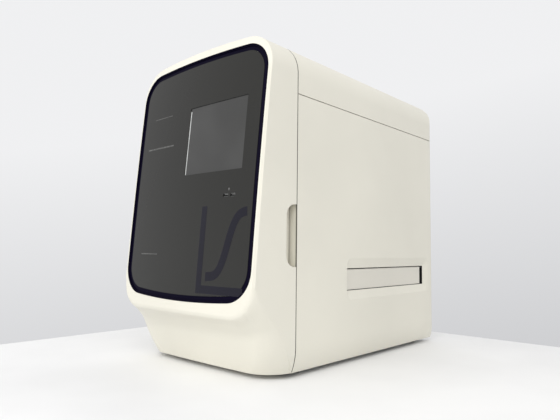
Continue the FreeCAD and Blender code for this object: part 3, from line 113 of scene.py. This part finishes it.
class Shader:
    """Principled material with helpers for its procedural detail."""

    def __init__(self, name, base, roughness, metallic=0.0, coat=0.0, specular=0.5):
        self.mat = bpy.data.materials.new(name)
        self.mat.use_nodes = True
        self.tree = self.mat.node_tree
        self.bsdf = self.tree.nodes["Principled BSDF"]
        self.bsdf.inputs["Base Color"].default_value = (*base, 1)
        self.bsdf.inputs["Roughness"].default_value = roughness
        self.bsdf.inputs["Metallic"].default_value = metallic
        self.bsdf.inputs["Coat Weight"].default_value = coat
        self.bsdf.inputs["Coat Roughness"].default_value = COAT_ROUGHNESS
        self.bsdf.inputs["Specular IOR Level"].default_value = specular
        self.coords = self.tree.nodes.new("ShaderNodeTexCoord")

    def node(self, kind, **values):
        made = self.tree.nodes.new(kind)
        for key, value in values.items():
            setattr(made, key, value)
        return made

    def link(self, output, socket):
        self.tree.links.new(output, socket)

    def stretched(self, scale):
        """The object's own coordinates, scaled along each axis."""
        mapping = self.node("ShaderNodeMapping")
        mapping.inputs["Scale"].default_value = scale
        self.link(self.coords.outputs["Object"], mapping.inputs["Vector"])
        return mapping.outputs["Vector"]

    def noise(self, scale, detail, rough=0.5, stretch=(1, 1, 1)):
        tex = self.node("ShaderNodeTexNoise")
        tex.inputs["Scale"].default_value = scale
        tex.inputs["Detail"].default_value = detail
        tex.inputs["Roughness"].default_value = rough
        self.link(self.stretched(stretch), tex.inputs["Vector"])
        return tex.outputs["Fac"]

    def ramp(self, fac, low, high, start, end):
        ramp = self.node("ShaderNodeValToRGB")
        ramp.color_ramp.elements[0].position = start
        ramp.color_ramp.elements[1].position = end
        ramp.color_ramp.elements[0].color = (*low, 1)
        ramp.color_ramp.elements[1].color = (*high, 1)
        self.link(fac, ramp.inputs["Fac"])
        return ramp.outputs["Color"]

    def tint(self, fac, low, high, start=0.35, end=0.65):
        """Colour that varies between two."""
        self.link(self.ramp(fac, low, high, start, end), self.bsdf.inputs["Base Color"])

    def gloss(self, fac, low, high):
        """Roughness that varies between two."""
        self.link(self.ramp(fac, [low] * 3, [high] * 3, 0.3, 0.7), self.bsdf.inputs["Roughness"])

    def within(self, low, high):
        """1 inside a box of the object's own coordinates, 0 outside it."""
        split = self.node("ShaderNodeSeparateXYZ")
        self.link(self.coords.outputs["Object"], split.inputs["Vector"])
        product = None
        for axis, start, end in zip("XYZ", low, high):
            for operation, edge in (("GREATER_THAN", start), ("LESS_THAN", end)):
                test = self.node("ShaderNodeMath", operation=operation)
                test.inputs[1].default_value = edge
                self.link(split.outputs[axis], test.inputs[0])
                if product is None:
                    product = test.outputs[0]
                    continue
                both = self.node("ShaderNodeMath", operation="MULTIPLY")
                self.link(product, both.inputs[0])
                self.link(test.outputs[0], both.inputs[1])
                product = both.outputs[0]
        return product

    def patch(self, low, high, colour):
        """Another colour within a box."""
        mix = self.node("ShaderNodeMix", data_type="RGBA")
        socket = self.bsdf.inputs["Base Color"]
        self.link(self.within(low, high), mix.inputs["Factor"])
        self.link(socket.links[0].from_socket, mix.inputs[MIX_FIRST])
        mix.inputs[MIX_SECOND].default_value = (*colour, 1)
        self.link(mix.outputs[MIX_RESULT], socket)
        return self

    def bump(self, fac, strength, distance):
        bump = self.node("ShaderNodeBump")
        bump.inputs["Strength"].default_value = strength
        bump.inputs["Distance"].default_value = distance
        self.link(fac, bump.inputs["Height"])
        self.link(bump.outputs["Normal"], self.bsdf.inputs["Normal"])


def toned(colour, factor):
    """A colour made darker or lighter by a factor."""
    return tuple(min(value * factor, 1.0) for value in colour)


def textured(name, base, roughness=0.42, grain=900.0, depth=0.00006, strength=0.25):
    """Shader of fine-textured moulded plastic."""
    s = Shader(name, base, roughness)
    s.tint(s.noise(3.0, 3.0), toned(base, 0.97), toned(base, 1.03))
    s.gloss(s.noise(14.0, 5.0), roughness - 0.05, roughness + 0.05)
    s.bump(s.noise(grain, 2.0), strength, depth)
    return s


def moulded(name, base, *more):
    return textured(name, base, *more).mat


def coated(name, base, roughness=0.5):
    """Shader of powder-coated sheet with its orange-peel skin."""
    s = Shader(name, base, roughness)
    s.tint(s.noise(2.0, 3.0), toned(base, 0.96), toned(base, 1.04))
    s.bump(s.noise(420.0, 2.0), 0.35, 0.00012)
    return s


def painted(name, base, roughness=0.5):
    return coated(name, base, roughness).mat


def metal(name, base, roughness, stretch=(1, 1, 40), scale=60.0):
    """Metal with a brushed or machined grain along one axis."""
    s = Shader(name, base, roughness, metallic=1.0)
    lines = s.noise(scale, 3.0, 0.6, stretch)
    s.tint(lines, toned(base, 0.9), toned(base, 1.08))
    s.gloss(lines, roughness - 0.08, roughness + 0.1)
    s.bump(lines, 0.12, 0.00005)
    return s.mat


def rim_gloss():
    """Near-black band with a violet cast, duller than the glass."""
    s = Shader("rim_gloss", (0.004, 0.003, 0.012), 0.3, specular=0.02)
    s.tint(s.noise(5.0, 2.0), (0.0036, 0.0027, 0.011), (0.0044, 0.0033, 0.013))
    s.gloss(s.noise(9.0, 4.0), 0.26, 0.36)
    s.bump(s.noise(60.0, 1.0), 0.04, 0.0002)
    return s.mat


CREAM = (0.765, 0.742, 0.650)
materials = {
    "housing": moulded("housing_plastic", CREAM),
    "rim": rim_gloss(),
    "black_plastic": moulded("black_plastic", (0.018, 0.018, 0.019), 0.5, 500.0),
    "liner": moulded("liner_plastic", (0.56, 0.55, 0.51), 0.5, 500.0),
    "magnet": metal("plated_steel", (0.55, 0.55, 0.56), 0.35),
    "hinge_steel": metal("hinge_steel", (0.5, 0.5, 0.51), 0.32),
    "sheet_metal": painted("sheet_paint", (0.5, 0.51, 0.51)),
    "rear_metal": painted("rear_paint", (0.70, 0.68, 0.61), 0.45),
    "rubber": moulded("foot_rubber", (0.02, 0.02, 0.02), 0.8, 300.0, 0.0002, 0.4),
    "flap": moulded("flap_plastic", (0.70, 0.675, 0.60), 0.45),
    "supply_case": metal("supply_case", (0.7, 0.7, 0.71), 0.4, (1, 30, 1)),
    "aluminium": metal("machined_aluminium", (0.77, 0.77, 0.78), 0.3, (30, 1, 1)),
    "dark_anodised": metal("black_anodising", (0.03, 0.03, 0.033), 0.45, (1, 1, 12)),
    "ceramic": moulded("tile_ceramic", (0.8, 0.8, 0.78), 0.5, 300.0),
    "arm_metal": metal("clear_anodising", (0.6, 0.61, 0.62), 0.36, (1, 26, 1)),
    "nest": moulded("nest_plastic", (0.03, 0.03, 0.032), 0.45, 500.0),
    "brass": metal("machined_brass", (0.72, 0.5, 0.2), 0.3, (1, 1, 20)),
    "motor": painted("motor_paint", (0.02, 0.02, 0.022), 0.45),
    "steel": metal("ground_steel", (0.62, 0.62, 0.63), 0.22, (1, 1, 50)),
    "screws": metal("zinc_screws", (0.6, 0.6, 0.58), 0.3, (8, 8, 8), 200.0),
    "socket_metal": metal("socket_steel", (0.22, 0.22, 0.215), 0.3, (12, 1, 1)),
}


GLASS_LOW = 0.17
GLASS_HIGH = 0.71


def front_glass():
    """Dark printed panel under a clear gloss, lighter towards its foot."""
    s = Shader("front_glass", (0.016, 0.016, 0.0145), 0.07, specular=0.26)
    split = s.node("ShaderNodeSeparateXYZ")
    s.link(s.coords.outputs["Object"], split.inputs["Vector"])
    height = s.node("ShaderNodeMapRange")
    height.inputs["From Min"].default_value = GLASS_LOW
    height.inputs["From Max"].default_value = GLASS_HIGH
    s.link(split.outputs["Z"], height.inputs["Value"])
    s.tint(height.outputs["Result"], (0.0250, 0.0250, 0.0232), (0.0175, 0.0172, 0.0152), 0.0, 1.0)
    s.gloss(s.noise(7.0, 4.0), 0.05, 0.10)
    s.bump(s.noise(3.0, 1.0), 0.03, 0.002)
    return s.mat


def screen_glass():
    """Switched-off display behind the panel."""
    s = Shader("screen_glass", (0.05, 0.05, 0.049), 0.1, specular=0.33)
    s.tint(s.noise(6.0, 2.0), (0.043, 0.043, 0.042), (0.055, 0.055, 0.054))
    s.gloss(s.noise(8.0, 3.0), 0.09, 0.16)
    return s.mat


def circuit_board():
    """Green lacquer with the blotches of its tracks."""
    s = Shader("board_lacquer", (0.02, 0.12, 0.06), 0.35)
    s.tint(s.noise(90.0, 6.0, 0.7), (0.012, 0.085, 0.04), (0.03, 0.16, 0.08), 0.45, 0.55)
    s.bump(s.noise(200.0, 3.0), 0.2, 0.0002)
    return s.mat


def filter_glass():
    """Coated filters of the two wheels."""
    s = Shader("filter_glass", (0.2, 0.05, 0.3), 0.05, coat=1.0)
    s.tint(s.noise(12.0, 1.0), (0.1, 0.02, 0.25), (0.3, 0.1, 0.15))
    s.bsdf.inputs["Transmission Weight"].default_value = 0.4
    return s.mat


def lamp_lens():
    """Dark lens of the unlit lamp over the sockets."""
    s = Shader("lamp_lens", (0.09, 0.09, 0.085), 0.25, coat=0.6)
    s.tint(s.noise(300.0, 1.0), (0.07, 0.07, 0.066), (0.11, 0.11, 0.105))
    return s.mat


materials["front_glass"] = front_glass()
materials["screen"] = screen_glass()
materials["board"] = circuit_board()
materials["filter_glass"] = filter_glass()
materials["lamp"] = lamp_lens()

# Painted shade: the inside of the plate slot and the seam to the door are painted dark where shade falls in
# them, and the sheet behind the finger recess is cream
# Painted shade inside the plate slot's opening
SLOT_SHADE = (0.012, 0.012, 0.012)
# Painted shade on the housing's edges along the seam to the door
SEAM_SHADE = (0.10, 0.095, 0.08)
BULKHEAD_GREY = (0.2, 0.2, 0.195)
SEAM_SHADE_BOX = ((-1, -1, -1), (1, SEAM_Y + 0.0013, 1))
SLOT_SHADE_BOX = ((0.2, -0.08, 0.168), (0.2243, 0.345, 0.234))
BEHIND_RECESS = ((0.19, -0.3, 0.225), (0.24, 0.0, 0.38))
# Painted shade on the right panel, inside the plate slot and along the seam to the door
slot_shaded_side = textured("housing_with_slot_shade", CREAM).patch(*SLOT_SHADE_BOX, SLOT_SHADE).patch(*SEAM_SHADE_BOX, SEAM_SHADE)
# Painted shade along the seam to the door on the left panel and the top cover
seam_shaded = textured("housing_with_seam_shade", CREAM).patch(*SEAM_SHADE_BOX, SEAM_SHADE)
bulkhead = coated("sheet_paint_front", BULKHEAD_GREY).patch(*BEHIND_RECESS, CREAM)
own_materials = {
    "right_side_panel": slot_shaded_side.mat,
    "left_side_panel": seam_shaded.mat,
    "top_cover": seam_shaded.mat,
    "front_bulkhead": bulkhead.mat,
}

slots = {part["node"]: part["material_slot"] for part in frame["record"]["subparts"]}
for name, obj in nodes.items():
    obj.data.materials.clear()
    obj.data.materials.append(own_materials.get(name, materials[slots[name]]))


def shade_smoothly(obj, angle):
    """Smooth shading across edges flatter than the angle."""
    mesh = obj.data
    mesh.polygons.foreach_set("use_smooth", [True] * len(mesh.polygons))
    mesh.set_sharp_from_angle(angle=math.radians(angle))


NODE_SHARP_ANGLE = 24
for name, obj in nodes.items():
    shade_smoothly(obj, NODE_SHARP_ANGLE)


def add_piece(name, mesh, material, body):
    """Object with a mesh and a material that rides on a body."""
    obj = bpy.data.objects.new(name, mesh)
    scene.collection.objects.link(obj)
    mesh.materials.append(material)
    mesh.polygons.foreach_set("use_smooth", [True] * len(mesh.polygons))
    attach(obj, body)
    return obj


# The door: its chin is turned up round the lip's corners, where the solid has level sections
TUCK_HEIGHT = 0.066
TUCK_RADIUS = 0.130
LIP_CORNER = 0.060
LIP_SIDE = 0.007
CHIN_TOP = 0.196
CHIN_BOTTOM = 0.011
CHIN_WALL = 0.0035
CHIN_BLEND = 0.02
DOOR_SHARP_ANGLE = 32
# Distance outside the lip's outline, and how far the face lies back there
FALL = ((0, 0), (0.0065, 0.0025), (0.0115, 0.008), (0.018, 0.017), (0.028, 0.028), (0.045, 0.042),
        (0.070, 0.052), (0.100, 0.063), (0.125, 0.073), (0.150, 0.082))
# Height, and the radius of the turn from the face to the flank
TURN = ((0.011, 0.070), (0.036, 0.062), (0.066, 0.050), (0.091, 0.042), (0.108, 0.036), (0.118, 0.031),
        (0.136, 0.024), (0.150, 0.018), (0.172, 0.012), (0.196, 0.007))
# Lower edge of the glass opening
LENS_LOW = 0.1677
LENS_CROWN = 0.012
LENS_HALF = 0.221
LENS_CORNER = 0.067
LENS_CORNER_HEIGHT = 0.2287
LENS_CORNER_START = 0.005
# The face is cut into a grid, finer at the lip's edge and towards the flank
ROW_STEP = 0.004
EDGE_ROW_STEP = 0.002
EDGE_ROWS = (0.098, 0.150)
COLUMNS = [0.02 * i for i in range(1, 8)]
COLUMNS += [0.148 + 0.006 * i for i in range(11)]
COLUMNS += [0.212, 0.2155, 0.2185, 0.221, 0.2235, 0.2255, 0.2272, 0.2287, 0.2297, 0.2303]
# How near a point has to lie to a place to count as being there
SAME_POINT = 0.000001
ON_LEVEL = 0.00001
ON_FLANK = 0.0001
ON_FACE = 0.0005
ON_LENS_EDGE = 0.0015
PLACE_DIGITS = 5
# Width along the seam and the lower edge, and along the flank, that stays as it is
EDGE_MARGIN = 0.001
FLANK_MARGIN = 0.003
# Where the door is looked at from, and the y of the normals that still face that way
BEFORE_DOOR = -1
FRONT_NORMAL = -0.001
FLAT_NORMAL = -0.9


def along(rows, place):
    """Value at a place on a smooth curve through rows of (place, value)."""
    place = min(max(place, rows[0][0]), rows[-1][0])
    index = max(i for i in range(len(rows) - 1) if rows[i][0] <= place)

    def slope(k):
        before = rows[max(k - 1, 0)]
        after = rows[min(k + 1, len(rows) - 1)]
        return (after[1] - before[1]) / (after[0] - before[0])

    (start, low), (end, high) = rows[index], rows[index + 1]
    span = end - start
    t = (place - start) / span
    from_low = (2 * t ** 3 - 3 * t ** 2 + 1) * low + (t ** 3 - 2 * t ** 2 + t) * span * slope(index)
    from_high = (3 * t ** 2 - 2 * t ** 3) * high + (t ** 3 - t ** 2) * span * slope(index + 1)
    return from_low + from_high


def half_at(z):
    """Half width of the door at a height, drawn in towards the foot."""
    drop = max(TUCK_HEIGHT - z, 0)
    return HALF_WIDTH - TUCK_RADIUS + math.sqrt(TUCK_RADIUS ** 2 - drop ** 2)


def chin_y(x, z):
    """Face of the door below the glass: flat inside the lip's rounded outline, falling back outside it."""
    spread = abs(x) * HALF_WIDTH / half_at(z)
    over = max(spread - (HALF_WIDTH - LIP_SIDE - LIP_CORNER), 0)
    under = max(LIP_HEIGHT + LIP_CORNER - z, 0)
    outside = max(math.hypot(over, under) - LIP_CORNER, 0)
    radius = along(TURN, z)
    turned = min(max(spread - (HALF_WIDTH - radius), 0), radius)
    turn = radius - math.sqrt(radius ** 2 - turned ** 2)
    return front_y(x, max(z, LIP_HEIGHT), 0) + along(FALL, outside) + turn


def lens_edge(x):
    """Height of the glass opening's lower edge: a crowned line between two round corners."""
    over = abs(x) - (LENS_HALF - LENS_CORNER)
    if over < LENS_CORNER_START:
        return LENS_LOW - LENS_CROWN * (1 - (x / LENS_HALF) ** 2)
    return LENS_CORNER_HEIGHT - math.sqrt(max(LENS_CORNER ** 2 - over ** 2, 0))


def in_lens_seat(face):
    """Whether a face belongs to the ledge or the wall of the glass panel's seat."""
    centre = face.calc_center_median()
    deep = centre.y - front_y(centre.x, centre.z, 0) > GLASS_RECESS
    turned_aside = face.normal.y > FLAT_NORMAL
    return centre.z > lens_edge(centre.x) - ON_LENS_EDGE and (deep or turned_aside)


def outer_faces(mesh):
    """Faces of the chin that are seen straight from the front."""
    tree = BVHTree.FromBMesh(mesh)
    found = []
    for face in mesh.faces:
        centre = face.calc_center_median()
        if face.normal.y > FRONT_NORMAL or centre.z > CHIN_TOP or in_lens_seat(face):
            continue
        hit = tree.ray_cast(Vector((centre.x, BEFORE_DOOR, centre.z)), Vector((0, 1, 0)))[0]
        if hit is not None and abs(hit.y - centre.y) < ON_FACE:
            found.append(face)
    return found


def corners_of(faces):
    """Every vertex of the faces, once."""
    return list(dict.fromkeys(vert for face in faces for vert in face.verts))


def sliced(mesh, faces, place, normal):
    """The faces after a cut along a plane."""
    edges = list(dict.fromkeys(edge for face in faces for edge in face.edges))
    geom = list(faces) + edges + corners_of(faces)
    cut = bmesh.ops.bisect_plane(mesh, geom=geom, dist=SAME_POINT, plane_co=place, plane_no=normal)
    return [part for part in cut["geom"] if isinstance(part, bmesh.types.BMFace)]


def grid_rows():
    """Heights of the grid's rows."""
    rows = [CHIN_BOTTOM + ROW_STEP]
    while rows[-1] < CHIN_TOP - ROW_STEP:
        fine = EDGE_ROWS[0] < rows[-1] < EDGE_ROWS[1]
        rows.append(rows[-1] + (EDGE_ROW_STEP if fine else ROW_STEP))
    return rows


def gridded(mesh, faces):
    """The faces after cuts along every row and column of the grid."""
    for z in grid_rows():
        faces = sliced(mesh, faces, (0, 0, z), (0, 0, 1))
    for x in [0] + [side * column for column in COLUMNS for side in (1, -1)]:
        faces = sliced(mesh, faces, (x, 0, 0), (1, 0, 0))
    return faces


def flank_limits(verts):
    """Widest reach of the face at each row, and where the flank starts there."""
    widest = []
    start = []
    for z in [CHIN_BOTTOM] + grid_rows():
        level = [vert.co for vert in verts if abs(vert.co.z - z) < ON_LEVEL]
        if not level:
            continue
        reach = max(abs(co.x) for co in level)
        widest.append((z, reach))
        start.append((z, min(co.y for co in level if abs(co.x) > reach - ON_FLANK)))
    return widest, start


def place_key(co):
    """A point's place, the same for every vertex there."""
    return tuple(round(value, PLACE_DIGITS) for value in co)


def reshape_face(verts):
    """Move the points of the outer face, and return where each went from its first place."""
    widest, start = flank_limits(verts)
    moved = {}
    for vert in verts:
        x, y, z = vert.co
        if y > SEAM_Y - EDGE_MARGIN or abs(x) > along(widest, z) - ON_FLANK:
            continue
        key = place_key(vert.co)
        share = min(max((CHIN_TOP - z) / CHIN_BLEND, 0), 1)
        share = share * share * (3 - 2 * share)
        wanted = min(chin_y(x, z), along(start, z))
        vert.co.y = y + share * (wanted - y)
        moved[key] = vert.co.y
    return moved


def follow_face(mesh, outer, moved):
    """Bring along the neighbours' points at the face's edges, and keep the inner wall behind the face."""
    for vert in mesh.verts:
        if vert in outer:
            continue
        x, y, z = vert.co
        key = place_key(vert.co)
        if key in moved:
            vert.co.y = moved[key]
        elif CHIN_BOTTOM + EDGE_MARGIN < z < LIP_HEIGHT and abs(x) < half_at(z) - FLANK_MARGIN:
            vert.co.y = max(y, chin_y(x, z) + CHIN_WALL)


def door_with_chin():
    """Door shell over the solid one, with the same inside and a rounder chin."""
    mesh = bmesh.new()
    mesh.from_mesh(nodes["door_shell"].data)
    faces = outer_faces(mesh)
    bmesh.ops.remove_doubles(mesh, verts=corners_of(faces), dist=SAME_POINT)
    faces = gridded(mesh, [face for face in faces if face.is_valid])
    outer = corners_of(faces)
    moved = reshape_face(outer)
    follow_face(mesh, set(outer), moved)
    made = bpy.data.meshes.new("door_with_chin")
    mesh.to_mesh(made)
    mesh.free()
    obj = add_piece("door_with_chin", made, materials["housing"], "door")
    shade_smoothly(obj, DOOR_SHARP_ANGLE)
    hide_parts("door_shell")


door_with_chin()

# Print on the glass: a plain plot of a rising curve over its axes, and short rules for small print
PRINT_LIFT = 0.00012
AXIS_STROKE = 0.017
AXIS_STEPS = 14
AXES = {
    "print_axis_up": ((0.066, 0.176), (0.066, 0.364)),
    "print_axis_along": ((0.0735, 0.185), (0.198, 0.185)),
}
CURVE_STROKE = 0.019
CURVE_START = (0.086, 0.212)
CURVE_SPAN = (0.110, 0.138)
CURVE_STEEPNESS = 11
CURVE_MIDDLE = 0.55
CURVE_STEPS = 48
RULE_STEPS = 10
# Left end, right end, height and stroke of each rule
RULES = ((-0.167, -0.092, 0.597, 0.0018), (-0.184, -0.074, 0.5195, 0.0036), (-0.166, -0.098, 0.2575, 0.0026))
# Bright left edge of the display, which lies deeper than the print
DISPLAY_EDGE = ((-0.0166, 0.4412), (-0.0166, 0.5932))
DISPLAY_EDGE_STEPS = 12
DISPLAY_EDGE_WIDTH = 0.0032
DISPLAY_EDGE_DEPTH = GLASS_RECESS + 0.0016


def print_ink():
    """Violet-black ink, a little darker than the glass."""
    s = Shader("print_ink", (0.004, 0.0035, 0.011), 0.07, specular=0.3)
    s.tint(s.noise(20.0, 2.0), (0.0035, 0.003, 0.010), (0.0045, 0.004, 0.012))
    s.gloss(s.noise(7.0, 4.0), 0.05, 0.10)
    return s.mat


def rule_ink():
    """Faint broken grey of print too small to read."""
    s = Shader("rule_ink", (0.075, 0.075, 0.072), 0.3)
    s.tint(s.noise(400.0, 2.0), (0.04, 0.04, 0.038), (0.11, 0.11, 0.105), 0.45, 0.55)
    return s.mat


def edge_white():
    """Light grey of the display's frame."""
    s = Shader("display_edge", (0.5, 0.51, 0.5), 0.35)
    s.tint(s.noise(30.0, 2.0), (0.42, 0.43, 0.42), (0.6, 0.61, 0.6))
    return s.mat


def ribbon(name, centre, width, material, depth=GLASS_RECESS):
    """Flat stroke of one width on the door's front, along a line of (x, z) points."""
    verts = []
    for i, (x, z) in enumerate(centre):
        before = centre[max(i - 1, 0)]
        after = centre[min(i + 1, len(centre) - 1)]
        dx = after[0] - before[0]
        dz = after[1] - before[1]
        half = width / 2 / math.hypot(dx, dz)
        for side in (-half, half):
            edge_x = x - side * dz
            edge_z = z + side * dx
            verts.append((edge_x, front_y(edge_x, edge_z, depth) - PRINT_LIFT, edge_z))
    faces = [(2 * i, 2 * i + 2, 2 * i + 3, 2 * i + 1) for i in range(len(centre) - 1)]
    mesh = bpy.data.meshes.new(name)
    mesh.from_pydata(verts, [], faces)
    mesh.update()
    add_piece(name, mesh, material, "door")


def straight(start, end, steps):
    """Points on a line between two ends."""
    return [tuple(a + (b - a) * i / steps for a, b in zip(start, end)) for i in range(steps + 1)]


def curve_point(t):
    """Point of the plotted curve, with t from 0 to 1 along it."""
    rise = 1 / (1 + math.exp(-CURVE_STEEPNESS * (t - CURVE_MIDDLE)))
    return CURVE_START[0] + CURVE_SPAN[0] * t, CURVE_START[1] + CURVE_SPAN[1] * rise


ink = print_ink()
for name, (start, end) in AXES.items():
    ribbon(name, straight(start, end, AXIS_STEPS), AXIS_STROKE, ink)
ribbon("print_curve", [curve_point(i / CURVE_STEPS) for i in range(CURVE_STEPS + 1)], CURVE_STROKE, ink)
faint_ink = rule_ink()
for index, (left, right, height, stroke) in enumerate(RULES):
    line = straight((left, height), (right, height), RULE_STEPS)
    ribbon("print_rule_" + str(index), line, stroke, faint_ink)
display_line = straight(*DISPLAY_EDGE, DISPLAY_EDGE_STEPS)
ribbon("display_edge", display_line, DISPLAY_EDGE_WIDTH, edge_white(), DISPLAY_EDGE_DEPTH)

# Floor and light
FLOOR_LEFT = -0.60
FLOOR_REAR = 0.56
FLOOR_REACH = 3.0
SKY_TILT = (-0.12, -0.11, 1.0)
SKY_LOW = (0.36, (0.60, 0.605, 0.62, 1))
SKY_HIGH = (0.62, (0.87, 0.873, 0.885, 1))


def add_floor():
    """White table top that ends behind the machine and at its left."""
    s = Shader("floor_white", (0.86, 0.86, 0.86), 0.6)
    s.tint(s.noise(2.5, 3.0), (0.84, 0.84, 0.84), (0.89, 0.89, 0.89))
    s.bump(s.noise(25.0, 3.0), 0.05, 0.001)
    mesh = bpy.data.meshes.new("floor")
    corners = [(FLOOR_LEFT, -FLOOR_REACH, 0), (FLOOR_REACH, -FLOOR_REACH, 0),
               (FLOOR_REACH, FLOOR_REAR, 0), (FLOOR_LEFT, FLOOR_REAR, 0)]
    mesh.from_pydata(corners, [], [(0, 1, 2, 3)])
    floor = bpy.data.objects.new("floor", mesh)
    mesh.materials.append(s.mat)
    scene.collection.objects.link(floor)


def add_sky():
    """Backdrop that grows lighter upward and towards the photograph's left."""
    world = bpy.data.worlds.new("studio")
    scene.world = world
    world.use_nodes = True
    tree = world.node_tree
    back = tree.nodes["Background"]
    back.inputs["Strength"].default_value = 1.0
    direction = tree.nodes.new("ShaderNodeTexCoord")
    slope = tree.nodes.new("ShaderNodeVectorMath")
    slope.operation = "DOT_PRODUCT"
    slope.inputs[1].default_value = SKY_TILT
    shift = tree.nodes.new("ShaderNodeMapRange")
    shift.inputs["From Min"].default_value = -1.0
    shift.inputs["From Max"].default_value = 1.0
    sky = tree.nodes.new("ShaderNodeValToRGB")
    for element, (position, colour) in zip(sky.color_ramp.elements, (SKY_LOW, SKY_HIGH)):
        element.position = position
        element.color = colour
    tree.links.new(direction.outputs["Generated"], slope.inputs[0])
    tree.links.new(slope.outputs["Value"], shift.inputs["Value"])
    tree.links.new(shift.outputs["Result"], sky.inputs["Fac"])
    tree.links.new(sky.outputs["Color"], back.inputs["Color"])


def area_light(name, place, target, size, power, colour):
    """Rectangular lamp that shines at a target."""
    data = bpy.data.lights.new(name, "AREA")
    data.shape = "RECTANGLE"
    data.size = size[0]
    data.size_y = size[1]
    data.energy = power
    data.color = colour
    light = bpy.data.objects.new(name, data)
    scene.collection.objects.link(light)
    light.location = place
    light.rotation_euler = (Vector(target) - Vector(place)).to_track_quat("-Z", "Y").to_euler()


add_floor()
add_sky()
area_light(
    "key", place=(1.35, -2.2, 2.3), target=(0.0, 0.0, 0.35),
    size=(1.8, 1.4), power=31, colour=(1.0, 0.985, 0.95))
area_light(
    "front_fill", place=(-0.6, -2.6, 1.2), target=(0.0, -0.3, 0.2),
    size=(1.6, 1.2), power=13, colour=(1, 1, 1))
